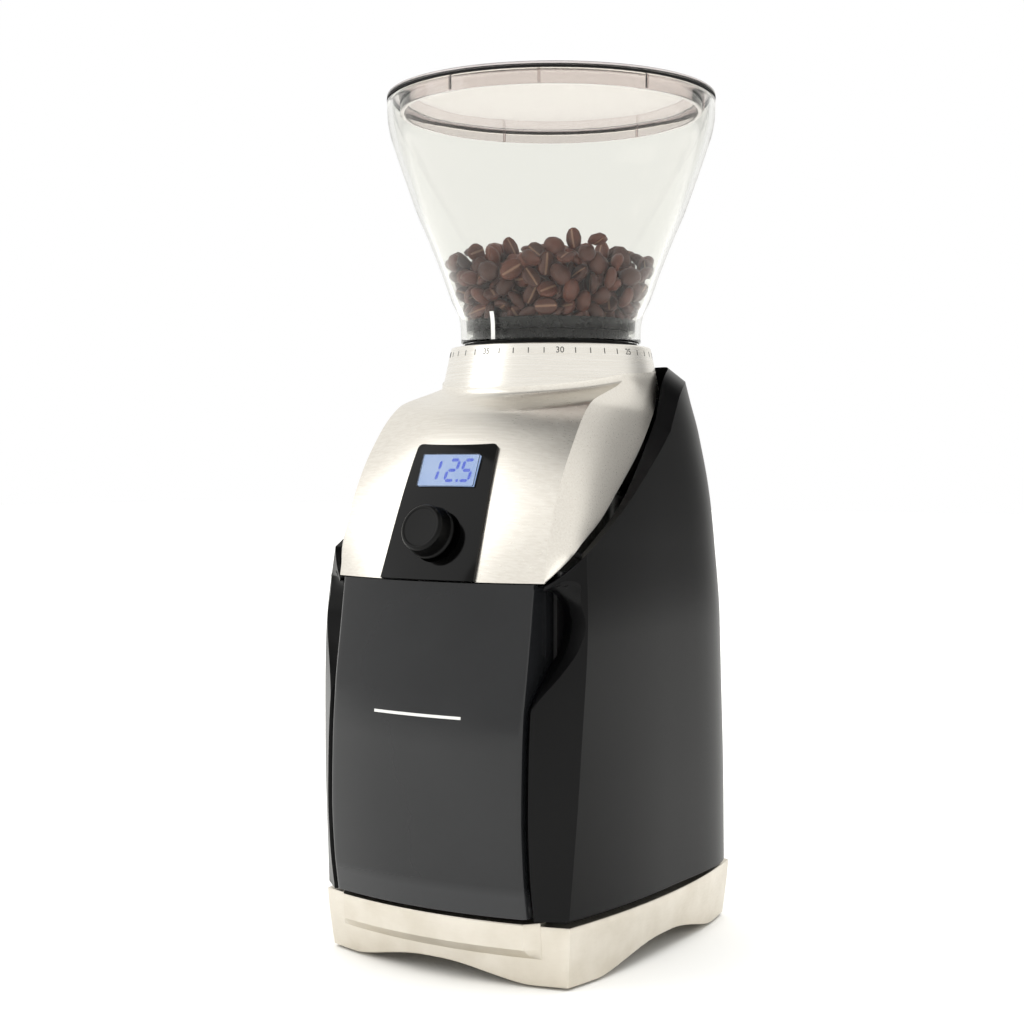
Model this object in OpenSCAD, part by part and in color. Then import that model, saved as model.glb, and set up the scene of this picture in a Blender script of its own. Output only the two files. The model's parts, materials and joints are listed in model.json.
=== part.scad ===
// Burr coffee grinder: cast base, plastic body, brushed hood, clear hopper, pull-out bin.
// Millimetres. +Z is up, the bin and the control panel face -Y, and the origin is on the
// surface that the feet stand on, under the middle of the grinder's footprint.

/* [Base and feet] */
// Height of the cast base above the surface
base_h = 24.5; // [20:0.5:34]
// Half-width of the base at its front corners
base_front_half = 58; // [54:0.5:66]
// Half-width of the base at its rear corners
base_rear_half = 56; // [54:0.5:62]
// Distance that the sides of the base bow outwards
base_side_bow = 6.5; // [3:0.5:9]
// Distance that the front of the base bows outwards
base_front_bow = 9; // [5:0.5:12]
// Distance that the rear of the base bows outwards
base_rear_bow = 8; // [4:0.5:10]
// Wall of the cast base
base_wall = 3.2; // [2.5:0.1:4]
// Half-width of the raised plaque on the front
plaque_half = 47; // [40:0.5:48]
// Distance that the ends of the plaque stand in front of the base's corners
plaque_proud = 8; // [6:0.5:9]
// Distance that the plaque bows outwards
plaque_bow = 6; // [4:0.5:8]
// Height of the plaque's lower edge
plaque_low = 13; // [10:0.5:16]
// Height of the arch between the feet
arch_h = 5; // [3:0.5:8]
// Thickness of the rubber pad under each foot
foot_pad_h = 1.6; // [1:0.1:3]
// Radius of the rubber pad
foot_pad_r = 5; // [3.5:0.1:5.5]

/* [Body shell] */
// Greatest half-width of the body
body_half = 64.5; // [62:0.5:78]
// Distance from the burr axis to the back of the body at its foot
body_rear = 65; // [60:0.5:76]
// Distance from the burr axis forward to the front corners of the body
body_front = 78.5; // [76:0.5:84]
// Wall of the body shell
body_wall = 2.6; // [2:0.1:3.2]
// Shadow gap between the base and the body
body_gap = 2.6; // [1.5:0.1:4]

/* [Grounds bin] */
// Height of the grounds bin
bin_h = 125; // [104:1:150]
// Half-width of the grounds bin
bin_half = 45; // [40:0.5:46]
// Depth of the tub behind the front plate
bin_depth = 46; // [38:1:48]
// Wall of the bin
bin_wall = 2; // [1.5:0.1:2.6]
// Distance that the bin front bows outwards across its width
bin_bow = 5.8; // [3:0.2:8]
// Clearance round the bin in its bay
bin_clear = 1.3; // [0.8:0.1:1.6]

/* [Hood and collar] */
// Wall of the metal hood
hood_wall = 2; // [1.6:0.1:2.5]
// Half-width of the hood between its front creases
crease_half = 48.5; // [45:0.5:50]
// Height of the hood from its lower edge to the collar's lower edge at the front
hood_h = 74.5; // [70:0.5:80]
// Height of the collar band at the front
collar_h = 18; // [16:0.5:20]
// Radius of the collar at its top
collar_top_r = 42.2; // [41.8:0.1:44]
// Radius of the collar at its foot
collar_foot_r = 46; // [45.8:0.1:47]

/* [Controls] */
// Half-width of the control panel at its foot
panel_half = 21.9; // [20:0.1:24]
// Thickness of the control panel
panel_t = 1; // [0.6:0.1:1.4]
// Half-width of the display window
window_half = 13.5; // [10:0.1:15]
// Height of the display window along the panel
window_h = 13.6; // [10:0.1:16]
// Radius of the knob
knob_r = 10; // [8:0.1:11.5]
// Length of the knob
knob_len = 11; // [9:0.1:16]

/* [Hopper and lid] */
// Outer radius of the hopper at its rim
hopper_rim_r = 69.2; // [62:0.2:76]
// Outer radius of the hopper's neck
hopper_neck_r = 38; // [37.6:0.1:40]
// Height of the hopper from its lower edge to its rim
hopper_h = 101.6; // [84:0.4:122]
// Wall of the hopper
hopper_wall = 2.2; // [1.6:0.1:3]
// Depth of the lid's plug inside the hopper
lid_plug_h = 6; // [4:0.5:10]
// Distance between the lid's plug and the hopper's wall
lid_inset = 3.2; // [1:0.2:6]
// Thickness of the lid
lid_t = 1.5; // [1.2:0.1:2.5]

/* [Burrs and drive] */
// Radius of the burr shaft
shaft_r = 4; // [3.5:0.25:4.5]
// Radius of the cone burr at its foot
cone_r = 20; // [18:0.5:20]
// Height of the cone burr
cone_h = 22; // [20:0.5:24]
// Outer radius of the ring burr
ring_r = 29; // [28:0.5:29.5]
// Height of the ring burr
ring_h = 20; // [18:0.5:21]
// Radial gap between the burrs at the setting shown
burr_gap = 0.75; // [0.65:0.05:1]
// Radius of the motor can
motor_r = 25; // [20:0.5:26]
// Length of the motor can
motor_len = 62; // [50:1:72]
// Module of the first gear pair
module_1 = 1; // [0.8:0.05:1]
// Teeth on the motor pinion
teeth_motor = 12; // [11:1:13]
// Teeth on the idler wheel
teeth_idler = 44; // [40:1:44]
// Module of the second gear pair
module_2 = 1.25; // [1:0.05:1.25]
// Teeth on the idler pinion
teeth_small = 13; // [12:1:14]
// Teeth on the final gear
teeth_final = 47; // [44:1:47]
// Play taken off each side of every tooth
tooth_play = 0.08; // [0.05:0.01:0.12]

/* [Fits] */
// Clearance between pieces that turn or slide past each other
run_gap = 0.4; // [0.3:0.05:0.6]
// Clearance of a shaft in its bush
bush_gap = 0.05; // [0.02:0.01:0.09]
// Radius of the case screws
screw_r = 1.5; // [1.2:0.1:2]

/* [Hidden] */
$fn = 72;
body_foot = base_h + body_gap;
split_z = body_foot + bin_h + 1.4;
edge_max = 12.5;
bin_proud = 1.5;
front_reach = body_front + edge_max + bin_proud + bin_bow;
axis_y = (front_reach - hopper_rim_r) / 2;
collar_z = split_z + hood_h;
collar_top = collar_z + collar_h;
shoulder_z = collar_z + 6;
deck_z = split_z - 1.5;
tray_t = 4;
hopper_z = collar_top + 1.8;
rim_z = hopper_z + hopper_h;
bay_back = -(body_front + 9.5) + bin_depth + 6.5;
gear_t1 = 8;
gear_t2 = 10;
gear1_z = deck_z + 5;
gear2_z = gear1_z + gear_t1 + 3;
lid_floor_z = gear2_z + gear_t2 + 2.5;
chamber_z = lid_floor_z + 11;
sweeper_z = chamber_z + 2;
cone_z = sweeper_z + 6;
ring_z = cone_z + 4;
centre_1 = module_1 * (teeth_motor + teeth_idler) / 2;
centre_2 = module_2 * (teeth_small + teeth_final) / 2;
motor_y = 31.5;
idler_y = (pow(centre_2, 2) - pow(centre_1, 2) + pow(motor_y, 2)) / (2 * motor_y);
idler_x = -sqrt(pow(centre_2, 2) - pow(idler_y, 2));
gearbox_r = 40;
chamber_r = 40;
carrier_r = 36;
neck_r = 33;
bearing_r = 11;
bearing_h = 7;
boss_r = bearing_r + 2.2;
knob_tilt = 20;
knob_clear = 1.8;
display_tilt = 22;

// ---- helpers ------------------------------------------------------------------------------

function mix(a, b, t) = a + (b - a) * t;
function clamp(v, lo, hi) = min(max(v, lo), hi);
// A smooth step from 0 at lo to 1 at hi
function ease(v, lo, hi) = let(t = clamp((v - lo) / (hi - lo), 0, 1)) t * t * (3 - 2 * t);

module on_axis() {
    translate([0, axis_y, 0]) children();
}

module tube(r_out, r_in, h) {
    rotate_extrude() translate([r_in, 0]) square([r_out - r_in, h]);
}

module cap_screw(r, length, head_r, head_h) {
    rotate_extrude()
        polygon([[0, -length], [r, -length], [r, 0], [head_r, 0], [head_r, head_h], [0, head_h]]);
}

// A solid skinned over rings of equal length. Each ring is a wall's outline: its outer points
// run anticlockwise seen from above, and its inner points come back the other way.
module skin(rings) {
    m = len(rings[0]);
    top = (len(rings) - 1) * m;
    polyhedron(
        points = [for (ring = rings) each ring],
        faces = concat(
            [for (j = [0:len(rings) - 2], i = [0:m - 1])
                let(a = j * m + i, b = j * m + (i + 1) % m)
                each [[a, b + m, b], [a, a + m, b + m]]],
            [for (i = [0:m / 2 - 2]) each strip(i, m)],
            [for (i = [0:m / 2 - 2]) each [for (f = strip(i, m)) [f[2] + top, f[1] + top, f[0] + top]]]
        ),
        convexity = 8
    );
}
function strip(i, m) = [[i, i + 1, m - 2 - i], [i, m - 2 - i, m - 1 - i]];

// The wall's outline from an open path of outer points and its partner inside the wall
function wall_ring(outer, inner) =
    concat(outer, [for (i = [len(inner) - 1:-1:0]) inner[i]]);
function mirrored(half) =
    concat(half, [for (i = [len(half) - 2:-1:0]) [-half[i][0], half[i][1], half[i][2]]]);

// ---- base -----------------------------------------------------------------------------------

base_rear = body_rear - base_rear_bow;

function bow_arc(a, b, bow, n) =
    let(mid = (a + b) / 2, along = b - a, side = [along[1], -along[0]] / norm(along))
    [for (i = [0:n - 1]) let(t = i / n) mix(a, b, t) + side * bow * 4 * t * (1 - t)];

// The base's plan, pulled in by d on every side
function base_plan(d) =
    let(f = [base_front_half - d, -body_front + d], r = [base_rear_half - d, base_rear - d])
    concat(
        bow_arc([-f[0], f[1]], f, base_front_bow, 10),
        bow_arc(f, r, base_side_bow, 10),
        bow_arc(r, [-r[0], r[1]], base_rear_bow, 10),
        bow_arc([-r[0], r[1]], [-f[0], f[1]], base_side_bow, 10)
    );

module base_slab(d, z0, z1) {
    translate([0, 0, z0]) linear_extrude(z1 - z0) polygon(base_plan(d));
}

module foot_places() {
    for (sx = [-1, 1]) {
        translate([sx * (base_front_half - 9.5), -body_front + 10]) children();
        translate([sx * (base_rear_half - 9.5), base_rear - 7.5]) children();
    }
}

module base_casting() {
    deck = 4;
    arch_x = 2 * (base_front_half - 20.5);
    arch_y = base_rear + body_front - 48;
    color("gainsboro") on_axis() difference() {
        union() {
            difference() {
                base_slab(0, foot_pad_h - 0.6, base_h);
                base_slab(base_wall, -1, base_h - deck);
            }
            foot_places() translate([0, 0, foot_pad_h]) cylinder(r = 8, h = base_h - deck - 1);
            plaque();
        }
        for (y = [-body_front - base_front_bow, base_rear + base_rear_bow])
            translate([0, y, foot_pad_h - 1]) arch(arch_x, 36, arch_h);
        for (sx = [-1, 1])
            translate([sx * (base_rear_half + 4), (base_rear - body_front) / 2 - 2, foot_pad_h - 1])
                rotate([0, 0, 90]) arch(arch_y, 36, arch_h + 1);
        foot_places() {
            translate([0, 0, -1]) cylinder(r = foot_pad_r + 0.1, h = 2.4);
            translate([0, 0, -1]) cylinder(r = screw_r + 0.2, h = base_h + 2);
            translate([0, 0, -1]) cylinder(r = 3.2, h = base_h - deck - 2);
        }
    }
}

// The raised plaque on the front of the base, blank and bevelled along its lower edge
module plaque() {
    top = base_h + 1.2;
    bevel = 2.5;
    edge = -body_front - plaque_proud;
    skin([for (z = [plaque_low, plaque_low + bevel, top])
        let(d = z == plaque_low ? bevel : 0,
            front = [for (p = bow_arc([-plaque_half, edge + d], [plaque_half, edge + d], plaque_bow, 8))
                [p[0], p[1], z]],
            path = concat(front, [[plaque_half, edge + d, z]]))
        wall_ring(path, [for (p = path) [p[0], p[1] - d + 6.5, z]])]);
}

// A low arch: flat on top with ends that curve down
module arch(length, depth, h) {
    translate([0, depth / 2, 0]) rotate([90, 0, 0]) linear_extrude(depth)
        polygon(concat([[length / 2, -3], [-length / 2, -3]],
            [for (i = [0:8]) let(t = i / 8) [-length / 2 * cos(180 * t) , h * pow(sin(180 * t), 0.6)]]));
}

module rubber_feet() {
    color("dimgray") on_axis() foot_places() tube(foot_pad_r, 3.6, foot_pad_h - 0.2);
}

module base_screws() {
    color("silver") on_axis() foot_places()
        translate([0, 0, base_h - 7]) rotate([180, 0, 0]) cap_screw(screw_r, 6.8 + tray_t, 2.8, 2);
}

module chassis_tray() {
    inset = 4.5;
    color("black") on_axis() difference() {
        base_slab(inset, base_h, base_h + tray_t);
        foot_places() translate([0, 0, base_h - 1]) cylinder(r = screw_r, h = tray_t + 2);
        translate([-bin_half - bin_clear, -120, base_h + 1.6])
            cube([2 * (bin_half + bin_clear), 120 + bay_back - 0.5, 10]);
    }
}

// ---- body shell ---------------------------------------------------------------------------

side_steps = 7;
rear_steps = 12;

// Height as a share of the body, 0 at its foot and 1 at its shoulder
function share(z) = (z - body_foot) / (shoulder_z - body_foot);
function half_at(z) =
    body_half * lookup(share(z), [[0, 0.985], [0.27, 1], [0.5, 1], [0.67, 0.965], [0.79, 0.93], [0.89, 0.893], [1, 0.864]]);
function rear_at(z) =
    body_rear * lookup(share(z), [[0, 1], [0.5, 0.945], [0.78, 0.9], [0.95, 0.86], [1, 0.85]]);
// Squareness of the rear corners, from nearly square at the foot to round at the shoulder
function square_at(z) = lookup(share(z), [[0, 4.1], [0.5, 3.5], [0.72, 3.4], [0.88, 2.9], [0.95, 2.4], [1, 2.1]]);
function crease_x(z) = half_at(z) - lookup(share(z), [[0, 6], [0.27, 3.5], [0.5, 2], [0.67, 2.3]]);
function crease_y(z) = -body_front + lookup(share(z), [[0, 0.3], [0.27, 2.3], [0.5, 5], [0.67, 8.2]]);
// The body's edge beside the bin, bowed forwards at half height
function edge_y(z) = -body_front - lookup((z - body_foot) / bin_h,
    [[0, 8.5], [0.14, 11.2], [0.31, edge_max], [0.49, 12], [0.66, 10.4], [0.84, 7.1], [1, 4.2]]);
// Height of the body's upper edge at a distance y behind the burr axis
function brow_z(y) = split_z + lookup(y,
    [[-87, -0.4], [-80, 6], [-70, 11.5], [-54, 21], [-40, 29.5], [-22, 42], [-11, 49.5],
     [0, 58], [13.5, 68], [20, 72.5], [30, 77], [45, 80], [60, 81]]);

// Depth of the finger recess beside the bin: z is the height, t runs from bin edge to crease
function recess(z, t) =
    let(h = (z - split_z) / bin_h)
    7 * ease(h, -0.37, -0.12) * ease(-h, 0.008, 0.07) * (1 - pow(t, 2));

function body_station(i, z) =
    i < 4 ? let(t = i / 3, x0 = bin_half + bin_clear + 1.2)
            [mix(x0, crease_x(z), t), mix(edge_y(z), crease_y(z), t) + recess(z, t)]
    : i < 4 + side_steps ? let(t = (i - 3) / side_steps, y = mix(crease_y(z), 0, t),
            back = clamp((-15 - y) / (-15 - crease_y(z)), 0, 1))
            [half_at(z) - (half_at(z) - crease_x(z)) * pow(back, 2.2), y]
    : let(u = 90 * (i - 3 - side_steps) / rear_steps, p = 2 / square_at(z))
            [half_at(z) * pow(max(cos(u), 0), p), rear_at(z) * pow(sin(u), p)];

n_body = 4 + side_steps + rear_steps;

function body_half_path(t, inset) = [for (i = [0:n_body - 1])
    let(foot_pt = body_station(i, split_z),
        top = i < 4 ? mix(split_z - 1.6, brow_z(crease_y(split_z)), pow(i / 3, 1.3)) : brow_z(foot_pt[1]),
        z = mix(body_foot, top, t),
        p = body_station(i, z),
        before = body_station(max(i - 1, 0), z),
        after = body_station(min(i + 1, n_body - 1), z),
        d = i == 0 ? [0, -1] : i == n_body - 1 ? [0, 1]
            : let(e = after - before) [e[1], -e[0]] / norm(e),
        lip = i < 4 ? 0 : 6 * ease(foot_pt[1], -55, 22) * (inset > 0 ? ease(t, 0.93, 1) : 0))
    [p[0] - inset * d[0] - lip * 0.9 * sign(p[0]), p[1] - inset * d[1] , z + lip]];

module body_shell() {
    levels = [0, 0.08, 0.2, 0.32, 0.44, 0.54, 0.62, 0.7, 0.76, 0.82, 0.88, 0.92, 0.96, 0.985, 1];
    color([0.13, 0.13, 0.14]) on_axis() difference() {
        skin([for (t = levels)
            wall_ring(mirrored(body_half_path(t, 0)), mirrored(body_half_path(t, body_wall)))]);
        translate([0, rear_at(gland_z) + 3, gland_z]) rotate([90, 0, 0]) cylinder(r = gland_r + 0.1, h = 12);
    }
}
// ---- hood -----------------------------------------------------------------------------------

crease_angle = 72;
seam_angle = 104;

// Three lines that run up the hood, v = 0 at its lower edge and 1 at the collar
function hood_middle(v) = [0,
    lookup(v, [[0, -90], [0.15, -84.4], [0.3, -79.2], [0.45, -74.3], [0.6, -69.2], [0.75, -62.6], [0.88, -54],
        [1, -collar_foot_r]]),
    split_z + hood_h * lookup(v, [[0, 0], [0.3, 0.35], [0.6, 0.66], [0.75, 0.8], [0.88, 0.92], [1, 1]])];
function hood_crease(v) = [
    crease_half * (1 - 0.1 * pow(v, 4)),
    lookup(v, [[0, -81.8], [0.15, -79], [0.3, -74.3], [0.45, -67.8], [0.6, -59.4], [0.75, -49.5], [0.88, -35],
        [1, -14.2]]),
    split_z + hood_h * lookup(v, [[0, 0], [0.3, 0.37], [0.6, 0.71], [0.75, 0.86], [0.88, 0.98], [1, 1.075]])];
function hood_seam(v) = [
    crease_half + lookup(v, [[0, 0], [0.15, 6.5], [0.3, 7], [0.45, 6], [0.6, 4.3], [0.75, 2.2], [0.88, -0.4],
        [1, -3.6]]),
    lookup(v, [[0, -81], [0.15, -69], [0.3, -53], [0.45, -37], [0.6, -20], [0.75, -6], [0.88, 5], [1, 11]]),
    split_z + hood_h * lookup(v, [[0, 0], [0.15, 0.16], [0.3, 0.3], [0.45, 0.46], [0.6, 0.63], [0.75, 0.79],
        [0.88, 0.94], [1, 1.1]])];

// A point of the hood: u is 0 on the middle line, 1 on the crease and 2 on the seam
function hood_point(u, v) = let(
    c = hood_crease(v),
    m = hood_middle(v),
    w = pow(min(u, 1), 2.2),
    flat = u < 1 ? [c[0] * u, mix(m[1], c[1], w), mix(m[2], c[2], w)]
        : mix(c, hood_seam(v), u - 1) + [1, -1, 0] * 1.2 * sin(180 * (u - 1)),
    a = u < 1 ? crease_angle * u : mix(crease_angle, seam_angle, u - 1),
    round = [collar_foot_r * sin(a), -collar_foot_r * cos(a), flat[2]])
    mix(flat, round, ease(v, 0.75, 1));

function hood_normal(u, v) = let(
    e = 0.02,
    m = clamp(v, e, 1 - e),
    along = hood_point(u, m + e) - hood_point(u, m - e),
    across = u == 0 ? [1, 0, 0] : hood_point(min(u + e, 2), m) - hood_point(u - e, m),
    n = cross(across, along))
    n / norm(n);

hood_us = [0, 0.2, 0.4, 0.6, 0.8, 0.93, 1, 1.12, 1.4, 1.7, 2];

// A line across the hood from its left seam to its right seam, moved out by d
function hood_line(us, v, d) = let(
    half = [for (u = us) hood_point(u, v) + d * hood_normal(u, v)],
    flip = [for (i = [len(half) - 1:-1:1]) [-half[i][0], half[i][1], half[i][2]]])
    concat(flip, half);

module hood() {
    vs = [0, 0.1, 0.2, 0.3, 0.4, 0.5, 0.6, 0.7, 0.8, 0.88, 0.94, 1];
    color([0.82, 0.81, 0.78]) on_axis() {
        difference() {
            skin([for (v = vs) wall_ring(hood_line(hood_us, v, 0), hood_line(hood_us, v, -hood_wall))]);
            translate([-panel_half + 5, -100, split_z + 6])
                cube([2 * panel_half - 10, 50, hood_h * 0.57]);
        }
        rotate_extrude() polygon([
            [collar_foot_r - 0.2, collar_z + 0.2], [collar_top_r, collar_top - 0.8],
            [collar_top_r - 0.8, collar_top], [collar_top_r - hood_wall, collar_top],
            [collar_foot_r - hood_wall - 0.4, collar_z]]);
    }
}

module hood_screws() {
    color("silver") on_axis() for (sx = [-1, 1])
        translate([sx * 34, -46, deck_z + 1]) cap_screw(screw_r, 9, 2.8, 2);
}

// ---- controls -------------------------------------------------------------------------------

panel_v = 0.625;
panel_gap = 0.25;
knob_v = 0.19;
display_v = 0.49;

module at_display() {
    translate(hood_middle(display_v)) rotate([90 - display_tilt, 0, 0]) children();
}

module at_knob() {
    translate(hood_middle(knob_v)) rotate([90 - knob_tilt, 0, 0]) children();
}

module control_panel() {
    half = panel_half / crease_half;
    color([0.05, 0.05, 0.06]) on_axis() difference() {
        skin([for (t = [0:0.125:1])
            let(v = t * panel_v, us = [for (k = [0:0.25:1]) k * half * (1 - 0.13 * t)])
            wall_ring(hood_line(us, v, panel_gap + panel_t), hood_line(us, v, panel_gap))]);
        at_display() cube([2 * window_half, window_h, 20], center = true);
        at_knob() cylinder(r = 4.2, h = 20, center = true);
    }
}

module display_window() {
    color([0.6, 0.75, 0.95]) on_axis() at_display() translate([0, 0, -0.6])
        linear_extrude(1.2) square([2 * window_half - run_gap, window_h - run_gap], center = true);
}

module lcd_module() {
    color([0.35, 0.5, 0.8]) on_axis() at_display() translate([0, 0, -6.2])
        linear_extrude(3.4) square([2 * window_half + 3, window_h + 4], center = true);
}

module display_board() {
    color("darkgreen") on_axis() at_display() translate([0, -2, -8.2])
        linear_extrude(1.6) square([2 * window_half + 5, window_h + 10.4], center = true);
}

module encoder_body() {
    color("dimgray") on_axis() at_knob() translate([0, 0, -12.5]) difference() {
        translate([-6.5, -6.5, 0]) cube([13, 13, 7]);
        translate([0, 0, 2]) cylinder(r = 3 + bush_gap, h = 6);
    }
}

module encoder_plunger() {
    color("silver") on_axis() at_knob() translate([0, 0, -9.4]) cylinder(r = 2.6, h = 1.2);
}

module encoder_shaft() {
    color("silver") on_axis() at_knob() translate([0, 0, -8.1]) cylinder(r = 3, h = 15);
}

module knob() {
    foot = panel_t + knob_clear;
    color([0.07, 0.07, 0.07]) on_axis() at_knob() difference() {
        rotate_extrude() polygon([
            [0, foot], [knob_r + 0.5, foot], [knob_r + 0.5, foot + 1], [knob_r - 0.2, foot + 2],
            [knob_r - 0.6, knob_len - 0.8], [knob_r - 1.4, knob_len], [0, knob_len]]);
        cylinder(r = 3, h = 6.9);
    }
}

// ---- grounds bin ----------------------------------------------------------------------------

bin_floor_z = body_foot + 1.8;
bin_top_z = split_z - 1.2;
tub_front = -body_front - 1.5;

function bin_front_y(x, z) = edge_y(z) - bin_proud - bin_bow * (1 - pow(x / bin_half, 2));

// The front plate's plan at height z with its side returns, moved inwards by d
function bin_line(z, d) = let(
    n = 8,
    half = [for (i = [0:n]) let(x = (bin_half - d) * i / n) [x, bin_front_y(x, z) + d, z]])
    concat([[-bin_half + d, tub_front, z]], [for (i = [n:-1:1]) [-half[i][0], half[i][1], z]],
        half, [[bin_half - d, tub_front, z]]);

module bin_front() {
    color([0.16, 0.16, 0.17]) on_axis()
        skin([for (t = [0:0.1:1]) let(z = mix(bin_floor_z - 1, bin_top_z, t))
            wall_ring(bin_line(z, 0), bin_line(z, bin_wall + 0.4))]);
}

module bin_tub() {
    half = bin_half - 0.4;
    inner = half - bin_wall;
    back = bay_back - bin_clear;
    front_x = half - 2.4;
    color([0.25, 0.25, 0.27]) on_axis() {
        translate([0, 0, bin_floor_z]) linear_extrude(bin_wall) polygon(concat(
            [[half, back], [-half, back], [-half, tub_front + 0.1], [-front_x, tub_front + 0.1]],
            [for (i = [-6:6]) let(x = front_x * i / 6) [x, bin_front_y(x, bin_floor_z) + bin_wall + 0.9]],
            [[front_x, tub_front + 0.1], [half, tub_front + 0.1]]));
        translate([0, 0, bin_floor_z + bin_wall])
            linear_extrude(bin_top_z - bin_floor_z - bin_wall - 1) difference() {
                translate([-half, tub_front + 0.1]) square([2 * half, back - tub_front - 0.1]);
                translate([-inner, tub_front - 1])
                    square([2 * inner, back - tub_front + 1 - bin_wall]);
            }
    }
}

// The liner round the bin: two sides and a back
module bin_bay() {
    x1 = bin_half + bin_clear;
    z0 = base_h + tray_t + 0.2;
    color([0.1, 0.1, 0.1]) on_axis() translate([0, 0, z0]) linear_extrude(deck_z - 2.2 - z0)
        difference() {
            translate([-x1 - 1.6, -body_front + 7])
                square([2 * x1 + 3.2, bay_back + body_front - 7 + 1.6]);
            translate([-x1, -body_front]) square([2 * x1, bay_back + body_front]);
        }
}

// ---- gearbox and grinding chamber -------------------------------------------------------------

box_wall = 3;
box_plate = 3.5;

module gear_outline(d) {
    circle(r = gearbox_r - d);
    translate([idler_x, idler_y]) circle(r = module_1 * (teeth_idler / 2 + 1) + 4 - d);
    translate([0, motor_y]) circle(r = 17 - d);
}

module box_screw_places() {
    for (a = [20, 62, 200, 242, 298, 340]) rotate([0, 0, a]) translate([gearbox_r + 1, 0]) children();
}

module gearbox_lower() {
    tall = lid_floor_z - deck_z;
    color("lightgray") on_axis() translate([0, 0, deck_z]) difference() {
        union() {
            linear_extrude(box_wall) gear_outline(0);
            linear_extrude(tall) difference() {
                gear_outline(0);
                gear_outline(box_wall);
            }
            cylinder(r = boss_r, h = box_wall + bearing_h);
            translate([idler_x, idler_y]) cylinder(r = 5.5, h = box_wall + 1);
            box_screw_places() cylinder(r = 4, h = tall);
        }
        translate([0, 0, box_wall]) cylinder(r = bearing_r, h = bearing_h + 1);
        translate([0, 0, -1]) cylinder(r = shaft_r + 1.5, h = box_wall + 2);
        translate([idler_x, idler_y, 0.8]) cylinder(r = idler_pin_r, h = 9);
        translate([0, motor_y, -1]) cylinder(r = 7.3, h = box_wall + 2);
        motor_screw_places() translate([0, 0, -1]) cylinder(r = screw_r + 0.2, h = box_wall + 2);
        box_screw_places() translate([0, 0, tall - 9]) cylinder(r = screw_r, h = 10);
    }
}

module chamber_posts(h) {
    for (a = [45, 135, 215, 325]) rotate([0, 0, a]) translate([30, 0]) cylinder(r = 4, h = h);
}

module gearbox_upper() {
    floor_rel = chamber_z - lid_floor_z - 0.1;
    tall = collar_z - 2 - lid_floor_z;
    color("silver") on_axis() translate([0, 0, lid_floor_z + 0.1]) difference() {
        union() {
            linear_extrude(box_plate) gear_outline(0);
            box_screw_places() cylinder(r = 4, h = box_plate);
            cylinder(r = boss_r + 3, h = floor_rel);
            chamber_posts(floor_rel);
            translate([0, 0, floor_rel - 2.5]) cylinder(r = chamber_r, h = 2.5);
            translate([0, 0, floor_rel - 2.5])
                tube(chamber_r, carrier_r + run_gap, tall - floor_rel + 2.5);
        }
        translate([0, 0, -1]) cylinder(r = shaft_r + 1.5, h = 20);
        translate([0, 0, -1]) cylinder(r = bearing_r, h = floor_rel - 1.5);
        translate([0, 0, floor_rel - 3]) cylinder(r = seal_r, h = 5);
        translate([idler_x, idler_y, -1]) cylinder(r = idler_pin_r, h = 3);
        translate([-11, -chamber_r - 2, floor_rel]) cube([22, 8, 9]);
        box_screw_places() translate([0, 0, -1]) cylinder(r = screw_r + 0.2, h = 9);
    }
}

module gearbox_screws() {
    color("silver") on_axis() translate([0, 0, lid_floor_z + box_plate + 0.1])
        box_screw_places() cap_screw(screw_r, 12, 2.8, 2);
}

// The chute: a square pipe that falls from the chamber's outlet to the bin
module grounds_chute() {
    half = 13;
    wall = 1.6;
    top_z = chamber_z + 10.5;
    foot_z = bin_top_z + 0.5;
    bend_z = foot_z + 14;
    back_y = -chamber_r - 0.3;
    outer = [[back_y, top_z], [back_y, chamber_z - 1.8], [-46.5, bend_z], [-47.5, foot_z],
        [-66, foot_z], [-66, bend_z + 2], [-50, top_z]];
    inner = [[back_y + 1, top_z - wall], [back_y + 1, chamber_z], [-46.5 - wall, bend_z],
        [-47.5 - wall, foot_z - 1], [-66 + wall, foot_z - 1], [-66 + wall, bend_z + 1.4],
        [-50.5, top_z - wall]];
    color([0.2, 0.2, 0.2]) on_axis() rotate([90, 0, 90]) difference() {
        translate([0, 0, -half]) linear_extrude(2 * half) polygon(outer);
        translate([0, 0, -half + wall]) linear_extrude(2 * (half - wall)) polygon(inner);
    }
}

// ---- motor ----------------------------------------------------------------------------------

motor_top = deck_z - 0.2;
motor_foot = motor_top - motor_len;
can_wall = 1.6;
motor_shaft_r = 2.5;
idler_pin_r = 2.5;
seal_r = 9;

module at_motor() {
    translate([0, motor_y, 0]) children();
}

module motor_screw_places() {
    at_motor() for (a = [0, 180]) rotate([0, 0, a]) translate([10.5, 0]) children();
}

module motor_can() {
    color("gray") on_axis() difference() {
        at_motor() translate([0, 0, motor_foot]) cylinder(r = motor_r, h = motor_len);
        at_motor() translate([0, 0, motor_foot - 1])
            cylinder(r = motor_r - can_wall, h = motor_len - 1);
        at_motor() translate([0, 0, motor_foot])
            cylinder(r = motor_shaft_r + bush_gap, h = motor_len + 1);
        motor_screw_places() translate([0, 0, motor_foot]) cylinder(r = screw_r, h = motor_len + 1);
    }
}

module motor_magnets() {
    color("dimgray") on_axis() at_motor() for (a = [-65, 115]) rotate([0, 0, a])
        translate([0, 0, motor_foot + 8]) rotate_extrude(angle = 130)
            translate([motor_r - can_wall - 4, 0]) square([3.9, motor_len - 20]);
}

module motor_end_cap() {
    color([0.15, 0.15, 0.15]) on_axis() at_motor() translate([0, 0, motor_foot - 6]) difference() {
        union() {
            cylinder(r = motor_r - 1, h = 5.9);
            translate([0, 0, -3]) cylinder(r = 6, h = 4);
        }
        translate([0, 0, -2]) cylinder(r = motor_shaft_r + bush_gap, h = 9);
    }
}

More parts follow.
